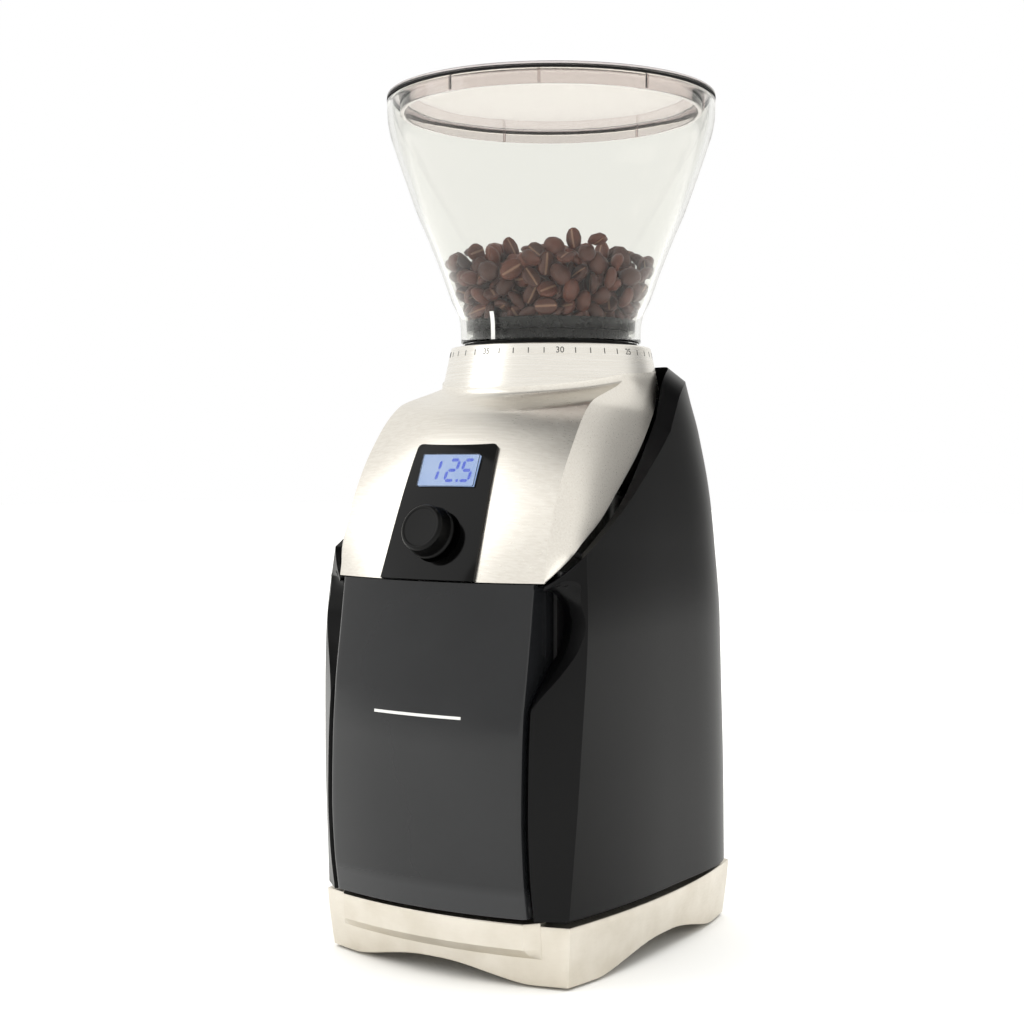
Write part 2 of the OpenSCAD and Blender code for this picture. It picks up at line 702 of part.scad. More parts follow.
module motor_screws() {
    color("silver") on_axis() translate([0, 0, deck_z + box_wall])
        motor_screw_places() cap_screw(screw_r, 5.5, 2.8, 1.8);
}

module motor_shaft() {
    low = motor_foot - 7;
    color("silver") on_axis() at_motor() translate([0, 0, low])
        cylinder(r = motor_shaft_r, h = gear1_z + gear_t1 - low);
}

module armature() {
    core_h = motor_len - 30;
    core_r = motor_r - can_wall - 5;
    color("sienna") on_axis() at_motor() translate([0, 0, motor_foot + 6]) difference() {
        union() {
            for (i = [0:4]) rotate([0, 0, 72 * i]) {
                translate([0, -3, 12]) cube([core_r - 2, 6, core_h]);
                rotate([0, 0, -28]) rotate_extrude(angle = 56)
                    translate([core_r - 3, 12]) square([3, core_h]);
            }
            translate([0, 0, 1]) cylinder(r = 8, h = 9);
            translate([0, 0, 9]) cylinder(r = 6, h = motor_len - 24);
        }
        translate([0, 0, -1]) cylinder(r = motor_shaft_r, h = motor_len);
    }
}

// ---- gears ----------------------------------------------------------------------------------

function polar(r, a) = [r * cos(a), r * sin(a)];
// The involute's roll angle at radius r, for base radius b
function roll(r, b) = r <= b ? 0 : let(a = acos(b / r)) tan(a) * 180 / PI - a;

// An involute spur gear's outline, with one tooth centred on +X
module spur(teeth, m) {
    pitch = m * teeth / 2;
    base = pitch * cos(20);
    root = pitch - 1.2 * m;
    half = 90 / teeth - tooth_play / pitch * 180 / PI + roll(pitch, base);
    rs = [for (i = [0:3]) mix(max(root + 0.01, base), pitch + m, i / 3)];
    polygon([for (k = [0:teeth - 1]) let(a = 360 * k / teeth) each concat(
        [polar(root, a - half)], [for (r = rs) polar(r, a - half + roll(r, base))],
        [for (i = [3:-1:0]) polar(rs[i], a + half - roll(rs[i], base))], [polar(root, a + half)])]);
}

// Direction from the idler to the motor and to the burr axis
to_motor = atan2(motor_y - idler_y, -idler_x);
to_burrs = atan2(-idler_y, -idler_x);

module motor_pinion() {
    color("goldenrod") on_axis() at_motor() translate([0, 0, gear1_z - 1]) linear_extrude(gear_t1 + 1)
        difference() {
            rotate(to_motor + 180) spur(teeth_motor, module_1);
            circle(r = motor_shaft_r);
        }
}

module idler_gear() {
    color("ivory") on_axis() translate([idler_x, idler_y, gear1_z]) difference() {
        union() {
            linear_extrude(gear_t1) rotate(to_motor + 180 / teeth_idler) spur(teeth_idler, module_1);
            translate([0, 0, gear_t1 - 0.5]) linear_extrude(gear_t2 + 3.5)
                rotate(to_burrs) spur(teeth_small, module_2);
        }
        translate([0, 0, -1]) cylinder(r = idler_pin_r + bush_gap, h = 40);
    }
}

module idler_pin() {
    color("silver") on_axis() translate([idler_x, idler_y, deck_z + 0.8])
        cylinder(r = idler_pin_r, h = lid_floor_z + 2 - deck_z - 0.8);
}

module final_gear() {
    color("ivory") on_axis() translate([0, 0, gear2_z]) difference() {
        union() {
            linear_extrude(gear_t2) rotate(to_burrs + 180 + 180 / teeth_final)
                spur(teeth_final, module_2);
            translate([0, 0, -2.5]) cylinder(r = 9, h = gear_t2 + 3.5);
        }
        for (a = [0:60:300]) rotate([0, 0, a]) translate([18, 0, -1]) cylinder(r = 5, h = gear_t2 + 2);
        translate([0, 0, -4]) cylinder(r = shaft_r, h = gear_t2 + 8);
    }
}

// ---- burr spindle -----------------------------------------------------------------------------

bearing_low_z = deck_z + box_wall;
bearing_top_z = chamber_z - 2.6 - bearing_h;
spindle_top = cone_z + cone_h - 4;

module bearing() {
    difference() {
        union() {
            tube(bearing_r, bearing_r - 2.2, bearing_h);
            tube(shaft_r + 2, shaft_r, bearing_h);
            translate([0, 0, 1]) tube(bearing_r - 2, shaft_r + 1.8, bearing_h - 2);
        }
    }
}

module drive_shaft() {
    low = deck_z + 1;
    color("silver") on_axis() translate([0, 0, low]) difference() {
        cylinder(r = shaft_r, h = spindle_top - low);
        translate([0, 0, spindle_top - low - 10]) cylinder(r = screw_r, h = 11);
    }
}

module bearing_lower() {
    color("silver") on_axis() translate([0, 0, bearing_low_z]) bearing();
}

module bearing_upper() {
    color("silver") on_axis() translate([0, 0, bearing_top_z]) bearing();
}

module shaft_seal() {
    color([0.15, 0.15, 0.15]) on_axis() translate([0, 0, chamber_z - 2.4])
        tube(seal_r, shaft_r + bush_gap, 2.2);
}

module sweeper() {
    reach = carrier_r - 1.5;
    color("whitesmoke") on_axis() translate([0, 0, sweeper_z]) difference() {
        union() {
            cylinder(r = cone_r, h = 1.6);
            cylinder(r = shaft_r + 4, h = cone_z - sweeper_z);
            for (a = [0:90:270]) rotate([0, 0, a]) translate([shaft_r + 2, -1.5, 0])
                cube([reach - shaft_r - 2, 3, cone_z - sweeper_z - 0.6]);
        }
        translate([0, 0, -1]) cylinder(r = shaft_r, h = 20);
    }
}

land_low = 1.5;
land_top = 10;
land_taper = 2.4;
// Radius of the cone burr at a height above its foot, over its fine lower land
function land_r(h) = cone_r - land_taper * (h - land_low) / (land_top - land_low);

module cone_burr() {
    color("slategray") on_axis() translate([0, 0, cone_z]) difference() {
        rotate_extrude() polygon([[0, 0], [cone_r, 0], [cone_r, land_low], [land_r(land_top), land_top],
            [9, cone_h], [0, cone_h]]);
        for (i = [0:7]) rotate([0, 0, 45 * i]) translate([9.5, 0, cone_h - 4])
            rotate([35, 38, 0]) translate([0, -1, 0]) cube([9, 2, 26], center = true);
        translate([0, 0, -1]) cylinder(r = shaft_r, h = spindle_top - cone_z + 1);
        cylinder(r = screw_r + 0.3, h = cone_h + 1);
        translate([0, 0, cone_h - 1.5]) cylinder(r = 5, h = 3);
    }
}

module burr_screw() {
    color("silver") on_axis() translate([0, 0, cone_z + cone_h - 1.4])
        rotate_extrude() polygon([[0, -11], [screw_r - 0.05, -11], [screw_r - 0.05, 0], [4.6, 0],
            [4.6, 2], [3.4, 4], [0, 4.6]]);
}

module ring_burr() {
    low = ring_z - cone_z;
    color("slategray") on_axis() translate([0, 0, cone_z]) difference() {
        rotate_extrude() polygon([[land_r(low) + burr_gap, low], [ring_r, low], [ring_r, low + ring_h],
            [24, low + ring_h], [land_r(land_top) + burr_gap, land_top]]);
        for (i = [0:11]) rotate([0, 0, 30 * i]) translate([22, 0, low + ring_h])
            rotate([0, 0, 25]) cube([5, 1.6, 10], center = true);
        carrier_screw_places() translate([0, 0, low + ring_h - 4]) cylinder(r = screw_r, h = 5);
    }
}

carrier_top = collar_top - 8;

module ring_burr_carrier() {
    low = ring_z - 0.5;
    color([0.18, 0.18, 0.18]) on_axis() difference() {
        rotate_extrude() polygon([[ring_r, low], [carrier_r, low], [carrier_r, collar_z - 6],
            [neck_r, collar_z - 6], [neck_r, carrier_top], [27.5, carrier_top],
            [25, ring_z + ring_h + 3], [25, ring_z + ring_h], [ring_r, ring_z + ring_h]]);
        carrier_screw_places() translate([0, 0, ring_z + ring_h - 1]) cylinder(r = screw_r, h = 6);
    }
}

module carrier_screw_places() {
    for (a = [90, 210, 330]) rotate([0, 0, a]) translate([27.1, 0]) children();
}

module carrier_screws() {
    color("silver") on_axis() translate([0, 0, ring_z + ring_h - 4])
        carrier_screw_places() cylinder(r = screw_r, h = 6.5);
}

module carrier_seal() {
    color([0.15, 0.15, 0.15]) on_axis() translate([0, 0, ring_z + ring_h + 3.2]) tube(24.8, 22.4, 1.6);
}

module adjust_ring() {
    low = collar_z - 1.6;
    top = collar_top - 0.6;
    color([0.12, 0.12, 0.12]) on_axis() difference() {
        tube_between(neck_r + run_gap, 38.3, low, top);
        for (a = [0:90:270]) rotate([0, 0, a]) translate([neck_r + 1, -4, top - 3]) cube([3, 8, 4]);
    }
}

module tube_between(r_in, r_out, z0, z1) {
    translate([0, 0, z0]) tube(r_out, r_in, z1 - z0);
}

// ---- hopper and lid ---------------------------------------------------------------------------

// Outer radius of the hopper at height h above its lower edge
function hopper_r(h) = hopper_neck_r + (hopper_rim_r - hopper_neck_r) * lookup(h / hopper_h,
    [[0, 0], [0.06, 0.005], [0.11, 0.03], [0.18, 0.13], [0.31, 0.285], [0.43, 0.44], [0.55, 0.605],
     [0.67, 0.745], [0.8, 0.89], [0.87, 0.96], [0.93, 0.992], [1, 1]]);

hopper_hs = [0, 0.06, 0.11, 0.18, 0.31, 0.43, 0.55, 0.67, 0.8, 0.87, 0.93, 1];

module hopper() {
    color([0.85, 0.85, 0.85, 0.35]) on_axis() translate([0, 0, hopper_z]) rotate_extrude()
        polygon(concat(
            [for (t = hopper_hs) [hopper_r(t * hopper_h), t * hopper_h]],
            [for (i = [len(hopper_hs) - 1:-1:0]) let(h = hopper_hs[i] * hopper_h)
                [hopper_r(h) - hopper_wall, h]]));
}

throat_r = 30;

module hopper_collar() {
    flange_r = hopper_neck_r - hopper_wall - 0.1;
    color([0.06, 0.06, 0.06]) on_axis() rotate_extrude() polygon([
        [throat_r, collar_top - 6.5], [neck_r, collar_top - 6.5], [neck_r, hopper_z + 4.8],
        [flange_r, hopper_z + 4.8], [flange_r, hopper_z + 9.5], [throat_r, hopper_z + 5.5]]);
}

module hopper_seal() {
    color([0.1, 0.1, 0.1]) on_axis() tube_between(neck_r + 0.1, 36.5, collar_top - 0.3, hopper_z - 0.2);
}

module lid_seal() {
    color([0.05, 0.05, 0.05]) on_axis()
        tube_between(hopper_rim_r - 3, hopper_rim_r, rim_z + 0.1, rim_z + 1);
}

module hopper_lid() {
    plug_r = hopper_rim_r - hopper_wall - lid_inset;
    low = rim_z + 1;
    color([0.7, 0.7, 0.72, 0.4]) on_axis() rotate_extrude() polygon([
        [0, low], [plug_r - 2, low], [plug_r - 2, low - lid_plug_h], [plug_r, low - lid_plug_h],
        [plug_r, low], [hopper_rim_r, low], [hopper_rim_r, low + lid_t - 0.4],
        [hopper_rim_r - 0.4, low + lid_t], [0, low + lid_t]]);
}

// ---- electrics --------------------------------------------------------------------------------

board_z = base_h + 14;
board_y = 12;

module main_board() {
    color("darkgreen") on_axis() difference() {
        translate([-40, board_y - 40, board_z]) cube([80, 74, 1.6]);
        board_post_places() translate([0, 0, board_z - 1]) cylinder(r = screw_r, h = 4);
    }
}

module board_post_places() {
    for (sx = [-1, 1], y = [board_y - 35, board_y + 29]) translate([sx * 35, y]) children();
}

module power_parts() {
    z = board_z + 1.6;
    color([0.2, 0.2, 0.22]) on_axis() {
        translate([-34, board_y - 30, z]) cube([30, 34, 24]);
        translate([6, board_y - 20, z]) cylinder(r = 9, h = 24);
        translate([24, board_y - 20, z]) cylinder(r = 5, h = 14);
        translate([12, board_y + 2, z]) cube([22, 12, 9]);
        translate([-30, board_y + 12, z]) cube([26, 5, 20]);
        translate([2, board_y + 20, z]) cube([30, 8, 11]);
    }
}

gland_z = base_h + 21;
gland_r = 7;

// The mains lead's gland: a flange outside the shell and a threaded body inside it
module cord_gland() {
    color([0.08, 0.08, 0.08]) on_axis() translate([0, rear_at(gland_z) + 2.9, gland_z])
        rotate([90, 0, 0]) difference() {
            union() {
                cylinder(r = gland_r + 2.5, h = 2.4);
                cylinder(r = gland_r - 0.3, h = 13);
            }
            translate([0, 0, -1]) cylinder(r = 3.5, h = 20);
        }
}

// A wire bundle of radius r along hand-set points, with a ring of 8 at each point
module wire(points, r) {
    n = len(points);
    function heading(i) = let(d = points[min(i + 1, n - 1)] - points[max(i - 1, 0)]) d / norm(d);
    rings = [for (i = [0:n - 1]) let(
        d = heading(i),
        s = cross(d, abs(d[0]) < 0.8 ? [1, 0, 0] : [0, 1, 0]),
        p = s / norm(s),
        q = cross(d, p))
        [for (k = [0:7]) points[i] + r * (p * cos(45 * k) + q * sin(45 * k))]];
    polyhedron(
        points = [for (ring = rings) each ring],
        faces = concat(
            [[for (k = [0:7]) k]], [[for (k = [7:-1:0]) (n - 1) * 8 + k]],
            [for (i = [0:n - 2], k = [0:7]) let(a = 8 * i + k, b = 8 * i + (k + 1) % 8)
                each [[a, b + 8, b], [a, a + 8, b + 8]]]));
}

module motor_leads() {
    color("firebrick") on_axis() wire([[10, 30, motor_foot - 6.2], [10, 30, motor_foot - 12],
        [14, 29, motor_foot - 18], [18, 27, board_z + 20], [20, 26, board_z + 13.2]], 1.6);
}

module display_cable() {
    color("gray") on_axis() wire([[18, -66, split_z + 26], [24, -62, split_z + 22], [36, -52, split_z + 12],
        [47, -34, split_z + 2], [51, -20, split_z - 12], [52, -14, split_z - 40],
        [52, -12, board_z + 30], [48, -10, board_z + 10], [38, -10, board_z + 4],
        [36, -10, board_z + 1.8]], 1.3);
}

// ---- the nodes --------------------------------------------------------------------------------

base_casting();
rubber_feet();
base_screws();
chassis_tray();
body_shell();
hood();
hood_screws();
control_panel();
display_window();
lcd_module();
display_board();
encoder_body();
encoder_plunger();
encoder_shaft();
knob();
bin_bay();
bin_tub();
bin_front();
gearbox_lower();
gearbox_upper();
gearbox_screws();
grounds_chute();
motor_can();
motor_magnets();
motor_end_cap();
motor_screws();
motor_shaft();
motor_pinion();
armature();
idler_pin();
idler_gear();
drive_shaft();
final_gear();
bearing_lower();
bearing_upper();
shaft_seal();
sweeper();
cone_burr();
burr_screw();
ring_burr();
ring_burr_carrier();
carrier_screws();
carrier_seal();
adjust_ring();
hopper_collar();
hopper();
hopper_seal();
hopper_lid();
lid_seal();
main_board();
power_parts();
cord_gland();
motor_leads();
display_cable();
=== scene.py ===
# %% [markdown]
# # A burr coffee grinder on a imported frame
# The frame holds every solid of the grinder at its real size. This file gives them their looks:
# the housing, hood, bin, hopper and base are made again as smooth surfaces, and the working
# pieces inside keep their solids and get a finish. All shapes are worked out in millimetres
# round the burr axis, because the hopper, collar and burrs all turn round it.

# %% Load the frame and find the burr axis
import json
import math

import bmesh
import bpy
import numpy as np
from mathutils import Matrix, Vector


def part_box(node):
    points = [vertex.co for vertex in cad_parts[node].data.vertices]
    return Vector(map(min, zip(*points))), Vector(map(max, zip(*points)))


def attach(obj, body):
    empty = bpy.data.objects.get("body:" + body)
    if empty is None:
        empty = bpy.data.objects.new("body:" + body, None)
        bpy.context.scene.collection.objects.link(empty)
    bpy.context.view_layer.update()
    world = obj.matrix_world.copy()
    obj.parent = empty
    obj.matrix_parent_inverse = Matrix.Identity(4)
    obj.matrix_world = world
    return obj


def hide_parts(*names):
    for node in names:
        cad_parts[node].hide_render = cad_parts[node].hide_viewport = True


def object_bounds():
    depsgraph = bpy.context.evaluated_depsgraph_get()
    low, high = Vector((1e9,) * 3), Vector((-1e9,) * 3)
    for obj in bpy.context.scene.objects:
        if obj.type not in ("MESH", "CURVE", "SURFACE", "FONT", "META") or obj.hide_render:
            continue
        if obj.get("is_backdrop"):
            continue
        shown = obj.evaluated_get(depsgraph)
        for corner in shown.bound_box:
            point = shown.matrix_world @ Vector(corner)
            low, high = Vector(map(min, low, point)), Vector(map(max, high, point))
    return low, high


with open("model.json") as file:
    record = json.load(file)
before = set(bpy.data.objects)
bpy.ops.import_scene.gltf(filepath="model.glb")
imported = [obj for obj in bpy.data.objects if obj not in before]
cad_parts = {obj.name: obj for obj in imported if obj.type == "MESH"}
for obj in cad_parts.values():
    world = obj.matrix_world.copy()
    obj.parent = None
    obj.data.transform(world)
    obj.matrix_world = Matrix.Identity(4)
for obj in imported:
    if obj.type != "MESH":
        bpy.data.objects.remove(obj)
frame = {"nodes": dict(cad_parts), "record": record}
nodes = frame["nodes"]
cad_low, cad_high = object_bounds()
MM = 0.001


def box_mm(node):
    """The lowest and highest corner of a node, in millimetres."""
    low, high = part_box(node)
    return np.array(low) / MM, np.array(high) / MM


hopper_low, hopper_high = box_mm("hopper")
AXIS_Y = (hopper_low[1] + hopper_high[1]) / 2
print("burr axis at y =", round(AXIS_Y, 2), "mm")

# %% [markdown]
# The outer heights and widths come from the frame, so that a surface made here ends where the
# solid that it stands for ends. The numbers written out, such as the collar's height and radii,
# repeat sizes that the frame's boxes don't give.

# %% Sizes read from the frame
base_low, base_high = box_mm("base_casting")
tray_low, _ = box_mm("chassis_tray")
body_low, body_high = box_mm("body_shell")
hood_low, hood_high = box_mm("hood")
bin_low, bin_high = box_mm("bin_front")
window_low, window_high = box_mm("display_window")

BASE_TOP = tray_low[2]
BODY_FOOT = body_low[2]
BODY_HALF = body_high[0]
BODY_REAR = body_high[1] - AXIS_Y
SPLIT_Z = hood_low[2]
COLLAR_TOP = hood_high[2]
COLLAR_H = 18
COLLAR_Z = COLLAR_TOP - COLLAR_H
SHOULDER_Z = COLLAR_Z + 6
HOOD_H = COLLAR_Z - SPLIT_Z
BIN_H = SPLIT_Z - BODY_FOOT - 1.4
BIN_HALF = bin_high[0]
HOPPER_Z = hopper_low[2]
RIM_Z = hopper_high[2]
HOPPER_H = RIM_Z - HOPPER_Z
RIM_R = hopper_high[0]
BODY_FRONT = 78.5
BODY_WALL = 2.6
CREASE_HALF = 48.5
COLLAR_TOP_R = 42.2
COLLAR_FOOT_R = 46
print("hood from", round(SPLIT_Z, 1), "to", round(COLLAR_TOP, 1), "mm")
print("hopper rim radius", round(RIM_R, 1), "mm")

# %% [markdown]
# A curve through a few knots describes how a width or a depth changes with height. Cubic pieces
# whose slopes never overshoot keep the housing free of the flats that straight pieces would show.


# %% Curves and blends
def curve(x, *knots):
    """Values at x on one smooth line through the knots (x, value).

    Each piece is a cubic; a knot's slope is the harmonic mean of the chords beside it, and level
    where they turn, so the line never leaves the range of its knots."""
    knot_x, knot_y = np.array(knots, float).T
    step = np.diff(knot_x)
    chord = np.diff(knot_y) / step
    before, after = chord[:-1], chord[1:]
    same = before * after > 0
    slope = np.concatenate([chord[:1], np.zeros(len(before)), chord[-1:]])
    slope[1:-1][same] = (2 * before * after)[same] / (before + after)[same]
    x = np.clip(x, knot_x[0], knot_x[-1])
    i = np.clip(np.searchsorted(knot_x, x) - 1, 0, len(step) - 1)
    t = (x - knot_x[i]) / step[i]
    return (
        knot_y[i] * (1 + 2 * t) * (1 - t) ** 2
        + knot_y[i + 1] * t**2 * (3 - 2 * t)
        + step[i] * t * (1 - t) * (slope[i] * (1 - t) - slope[i + 1] * t)
    )


def mix(a, b, t):
    """From a to b as t goes from 0 to 1."""
    return a + (b - a) * t


def ease(x, low, high):
    """A smooth step from 0 at low to 1 at high."""
    t = np.clip((x - low) / (high - low), 0, 1)
    return t * t * (3 - 2 * t)


def stack(x, y, z):
    """Three arrays that broadcast together, as one array of points."""
    return np.stack(np.broadcast_arrays(x, y, z), axis=-1).astype(float)


# %% [markdown]
# A surface is a grid of points. A wall needs a second grid inside the first and four strips
# round the rim, and a turned piece is an outline carried round an axis. These helpers only
# number the faces; the shapes themselves stay formulas.


# %% Grids, walls and turned shapes
def quads(rows, cols, wrap_rows=False, wrap_cols=False, start=0):
    """Faces of a grid whose rows go up and whose columns go anticlockwise seen from above."""
    ids = np.arange(rows * cols).reshape(rows, cols) + start
    if wrap_rows:
        ids = np.vstack([ids, ids[:1]])
    if wrap_cols:
        ids = np.hstack([ids, ids[:, :1]])
    corners = ids[:-1, :-1], ids[:-1, 1:], ids[1:, 1:], ids[1:, :-1]
    return np.stack(corners, axis=-1).reshape(-1, 4)


def wall(outer, inner):
    """A closed wall between two grids of the same shape: both faces and the four rim strips."""
    rows, cols = outer.shape[:2]
    count = rows * cols
    near = np.arange(count).reshape(rows, cols)
    far = near + count
    strips = [
        (near[0, 1:], near[0, :-1], far[0, :-1], far[0, 1:]),
        (near[-1, :-1], near[-1, 1:], far[-1, 1:], far[-1, :-1]),
        (near[:-1, 0], near[1:, 0], far[1:, 0], far[:-1, 0]),
        (near[1:, -1], near[:-1, -1], far[:-1, -1], far[1:, -1]),
    ]
    faces = [quads(rows, cols), quads(rows, cols, start=count)[:, ::-1]]
    faces += [np.stack(strip, axis=-1) for strip in strips]
    return np.vstack([outer.reshape(-1, 3), inner.reshape(-1, 3)]), np.vstack(faces)


def turned(outline, steps=144, closed=True):
    """An outline of (radius, height) points carried round the vertical axis. It goes up on its
    outer side. An open outline starts and ends on the axis."""
    outline = np.array(outline, float)
    angle = np.linspace(0, 2 * np.pi, steps, endpoint=False)[None, :]
    radius, height = outline[:, :1], outline[:, 1:]
    points = stack(radius * np.cos(angle), radius * np.sin(angle), height)
    return points.reshape(-1, 3), quads(len(outline), steps, wrap_rows=closed, wrap_cols=True)


def rounded(*corners, steps=5, closed=True):
    """An outline through (x, y, cut) corners. Each corner is replaced by a curve that starts and
    ends at the distance cut from it and leaves both sides without a kink."""
    spots = np.array(corners, float)
    place, cut = spots[:, :2], spots[:, 2:]
    to_last = np.roll(place, 1, axis=0) - place
    to_next = np.roll(place, -1, axis=0) - place
    start = place + to_last / np.linalg.norm(to_last, axis=1, keepdims=True) * cut
    end = place + to_next / np.linalg.norm(to_next, axis=1, keepdims=True) * cut
    if not closed:
        start[0] = end[0] = place[0]
        start[-1] = end[-1] = place[-1]
    t = np.linspace(0, 1, steps)[None, :, None]
    bend = start[:, None] * (1 - t) ** 2 + 2 * place[:, None] * t * (1 - t) + end[:, None] * t**2
    points = bend.reshape(-1, 2)
    new = np.linalg.norm(points - np.roll(points, 1, axis=0), axis=1) > 1e-6
    return points[new]


def joined(*parts):
    """Several (points, faces) pairs as one."""
    offsets = np.cumsum([0] + [len(points) for points, _ in parts[:-1]])
    points = np.vstack([points for points, _ in parts])
    faces = [faces + offset for (_, faces), offset in zip(parts, offsets)]
    return points, np.vstack(faces)


# %% [markdown]
# One function turns points into a piece: it moves them into the frame, merges the points that
# meet at poles and seams, shades the faces smooth up to a chosen angle, rounds the edges that
# are left with a small bevel, and puts the piece on its body.


# %% Make a piece
def piece(name, shape, material, body, replaces=(), bevel=0.0, sharp=35, segments=2):
    """A mesh piece from (points, faces) in millimetres round the burr axis."""
    points, faces = shape
    mesh = bpy.data.meshes.new(name)
    corners = [list(dict.fromkeys(face)) for face in faces.tolist()]
    mesh.from_pydata(((points + (0, AXIS_Y, 0)) * MM).tolist(), [], corners)
    work = bmesh.new()
    work.from_mesh(mesh)
    bmesh.ops.remove_doubles(work, verts=work.verts, dist=2e-6)
    bmesh.ops.dissolve_degenerate(work, edges=work.edges, dist=1e-6)
    work.to_mesh(mesh)
    work.free()
    mesh.shade_smooth()
    mesh.set_sharp_from_angle(angle=math.radians(sharp))
    mesh.materials.append(material)
    made = bpy.data.objects.new(name, mesh)
    bpy.context.scene.collection.objects.link(made)
    if bevel:
        edge = made.modifiers.new("edges", "BEVEL")
        edge.width = bevel * MM
        edge.segments = segments
        edge.limit_method = "ANGLE"
        edge.angle_limit = math.radians(sharp)
        edge.harden_normals = True
        edge.use_clamp_overlap = True
    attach(made, body)
    if replaces:
        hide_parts(*replaces)
    print(name, len(mesh.polygons), "faces")
    return made


# %% [markdown]
# The camera stands in front of the grinder and to its right, at a little over half its height,
# with a lens long enough to keep the uprights nearly straight. The light is soft: one large box
# at the front left, and a pale sky all round. The sky is greyer straight overhead and darker
# towards the right rear, because metal and gloss plastic show whatever surrounds them. A second
# lamp lights the floor and nothing else, which keeps the floor white.

# %% Colours
def colour(text):
    """A colour from its sRGB hex value, as linear red, green, blue and 1."""
    value = np.array([int(text[i : i + 2], 16) for i in (1, 3, 5)]) / 255
    linear = np.where(value <= 0.04045, value / 12.92, ((value + 0.055) / 1.055) ** 2.4)
    return (*linear.tolist(), 1.0)


def add(tree, kind, inputs=None, **settings):
    """A shader node with its settings, and its sockets given values or linked to others."""
    node = tree.nodes.new("ShaderNode" + kind)
    for key, value in settings.items():
        setattr(node, key, value)
    for key, value in (inputs or {}).items():
        if isinstance(value, bpy.types.NodeSocket):
            tree.links.new(value, node.inputs[key])
        else:
            node.inputs[key].default_value = value
    return node


# %% Camera
scene = bpy.context.scene
scene.view_settings.view_transform = "Standard"
CAMERA_PLACE = (0.39307, -0.61003, 0.19737)
CAMERA_TILT = math.radians(88.404)
CAMERA_TURN = math.radians(33.4619)
lens = bpy.data.cameras.new("camera")
lens.lens = 60.96
lens.sensor_width = 36
camera = bpy.data.objects.new("camera", lens)
camera.location = CAMERA_PLACE
camera.rotation_euler = (CAMERA_TILT, 0, CAMERA_TURN)
scene.collection.objects.link(camera)
scene.camera = camera

# %% Sky
TO_DARK_WALL = (0.54, 0.84, 0.0)
world = bpy.data.worlds.new("studio")
scene.world = world
world.use_nodes = True
sky = world.node_tree
sky.nodes.clear()
direction = add(sky, "TexCoord").outputs["Generated"]
height = add(sky, "SeparateXYZ", {0: direction}).outputs["Z"]
overhead = {0: height, 1: 0.76, 2: 0.96, 3: 0.0, 4: 1.0}
falloff = add(sky, "MapRange", overhead, interpolation_type="SMOOTHSTEP")
ceiling = add(sky, "MixRGB", {0: falloff.outputs[0], 1: colour("#f4f3f0"), 2: colour("#6a6a6a")})
to_rear = add(sky, "VectorMath", {0: direction, 1: TO_DARK_WALL}, operation="DOT_PRODUCT")
rearward = {0: to_rear.outputs["Value"], 1: 0.88, 2: 0.98, 3: 0.0, 4: 0.8}
dark_wall = add(sky, "MapRange", rearward, interpolation_type="SMOOTHSTEP")
tone = add(sky, "MixRGB", {0: dark_wall.outputs[0], 1: ceiling.outputs[0], 2: colour("#3c3c3e")})
rays = add(sky, "LightPath")
straight = {0: rays.outputs["Is Camera Ray"], 1: rays.outputs["Is Transmission Ray"]}
seen = add(sky, "Math", straight, operation="MAXIMUM")
room = add(sky, "Background", {0: tone.outputs[0], 1: 1.05})
backdrop = add(sky, "Background", {0: colour("#ffffff"), 1: 1.0})
either = add(sky, "MixShader", {0: seen.outputs[0], 1: room.outputs[0], 2: backdrop.outputs[0]})
add(sky, "OutputWorld", {0: either.outputs[0]})


# %% Soft box
def soft_box(name, place, size, power, target=(0.0, 0.0, 0.18)):
    """A rectangular light that faces the grinder."""
    light = bpy.data.lights.new(name, "AREA")
    light.shape = "RECTANGLE"
    light.size, light.size_y = size
    light.energy = power
    lamp = bpy.data.objects.new(name, light)
    lamp.location = place
    aim = np.array(target) - np.array(place)
    yaw = math.atan2(aim[1], aim[0]) - math.pi / 2
    pitch = math.atan2(aim[2], math.hypot(aim[0], aim[1])) + math.pi / 2
    lamp.rotation_euler = (pitch, 0, yaw)
    scene.collection.objects.link(lamp)


soft_box("key", (-1.0, -1.0, 0.9), (0.9, 0.9), 3.4)

# %% Floor
bpy.ops.mesh.primitive_plane_add(size=12, location=(0, 0, 0))
floor = bpy.context.object
floor.name = "floor"
floor_paint = bpy.data.materials.new("matt pale floor")
floor_paint.use_nodes = True
floor_shader = floor_paint.node_tree.nodes["Principled BSDF"]
floor_shader.inputs["Base Color"].default_value = colour("#f7f7f5")
floor_shader.inputs["Roughness"].default_value = 0.9
floor_shader.inputs["Specular IOR Level"].default_value = 0.1
floor.data.materials.append(floor_paint)
floor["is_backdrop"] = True

# %% A lamp that lights only the floor
floor_only = bpy.data.collections.new("floor only")
floor_only.objects.link(floor)
daylight = bpy.data.lights.new("daylight", "SUN")
daylight.energy = 2.6
daylight.angle = math.radians(70)
daylight_lamp = bpy.data.objects.new("daylight", daylight)
scene.collection.objects.link(daylight_lamp)
daylight_lamp.light_linking.receiver_collection = floor_only


# %% [markdown]
# Every finish starts as one shader with the constant values of the real material. A pattern then
# varies its roughness, its colour and its surface, at the size in millimetres that the real
# grain has. Patterns read Object coordinates, which are metres in the frame.


# %% Materials and their grain
def finish(name, hex_colour, roughness, **sockets):
    """A material of one shader with constant values."""
    made = bpy.data.materials.new(name)
    made.use_nodes = True
    shader = made.node_tree.nodes["Principled BSDF"]
    shader.inputs["Base Color"].default_value = colour(hex_colour)
    shader.inputs["Roughness"].default_value = roughness
    for socket, value in sockets.items():
        shader.inputs[socket.replace("_", " ")].default_value = value
    return made


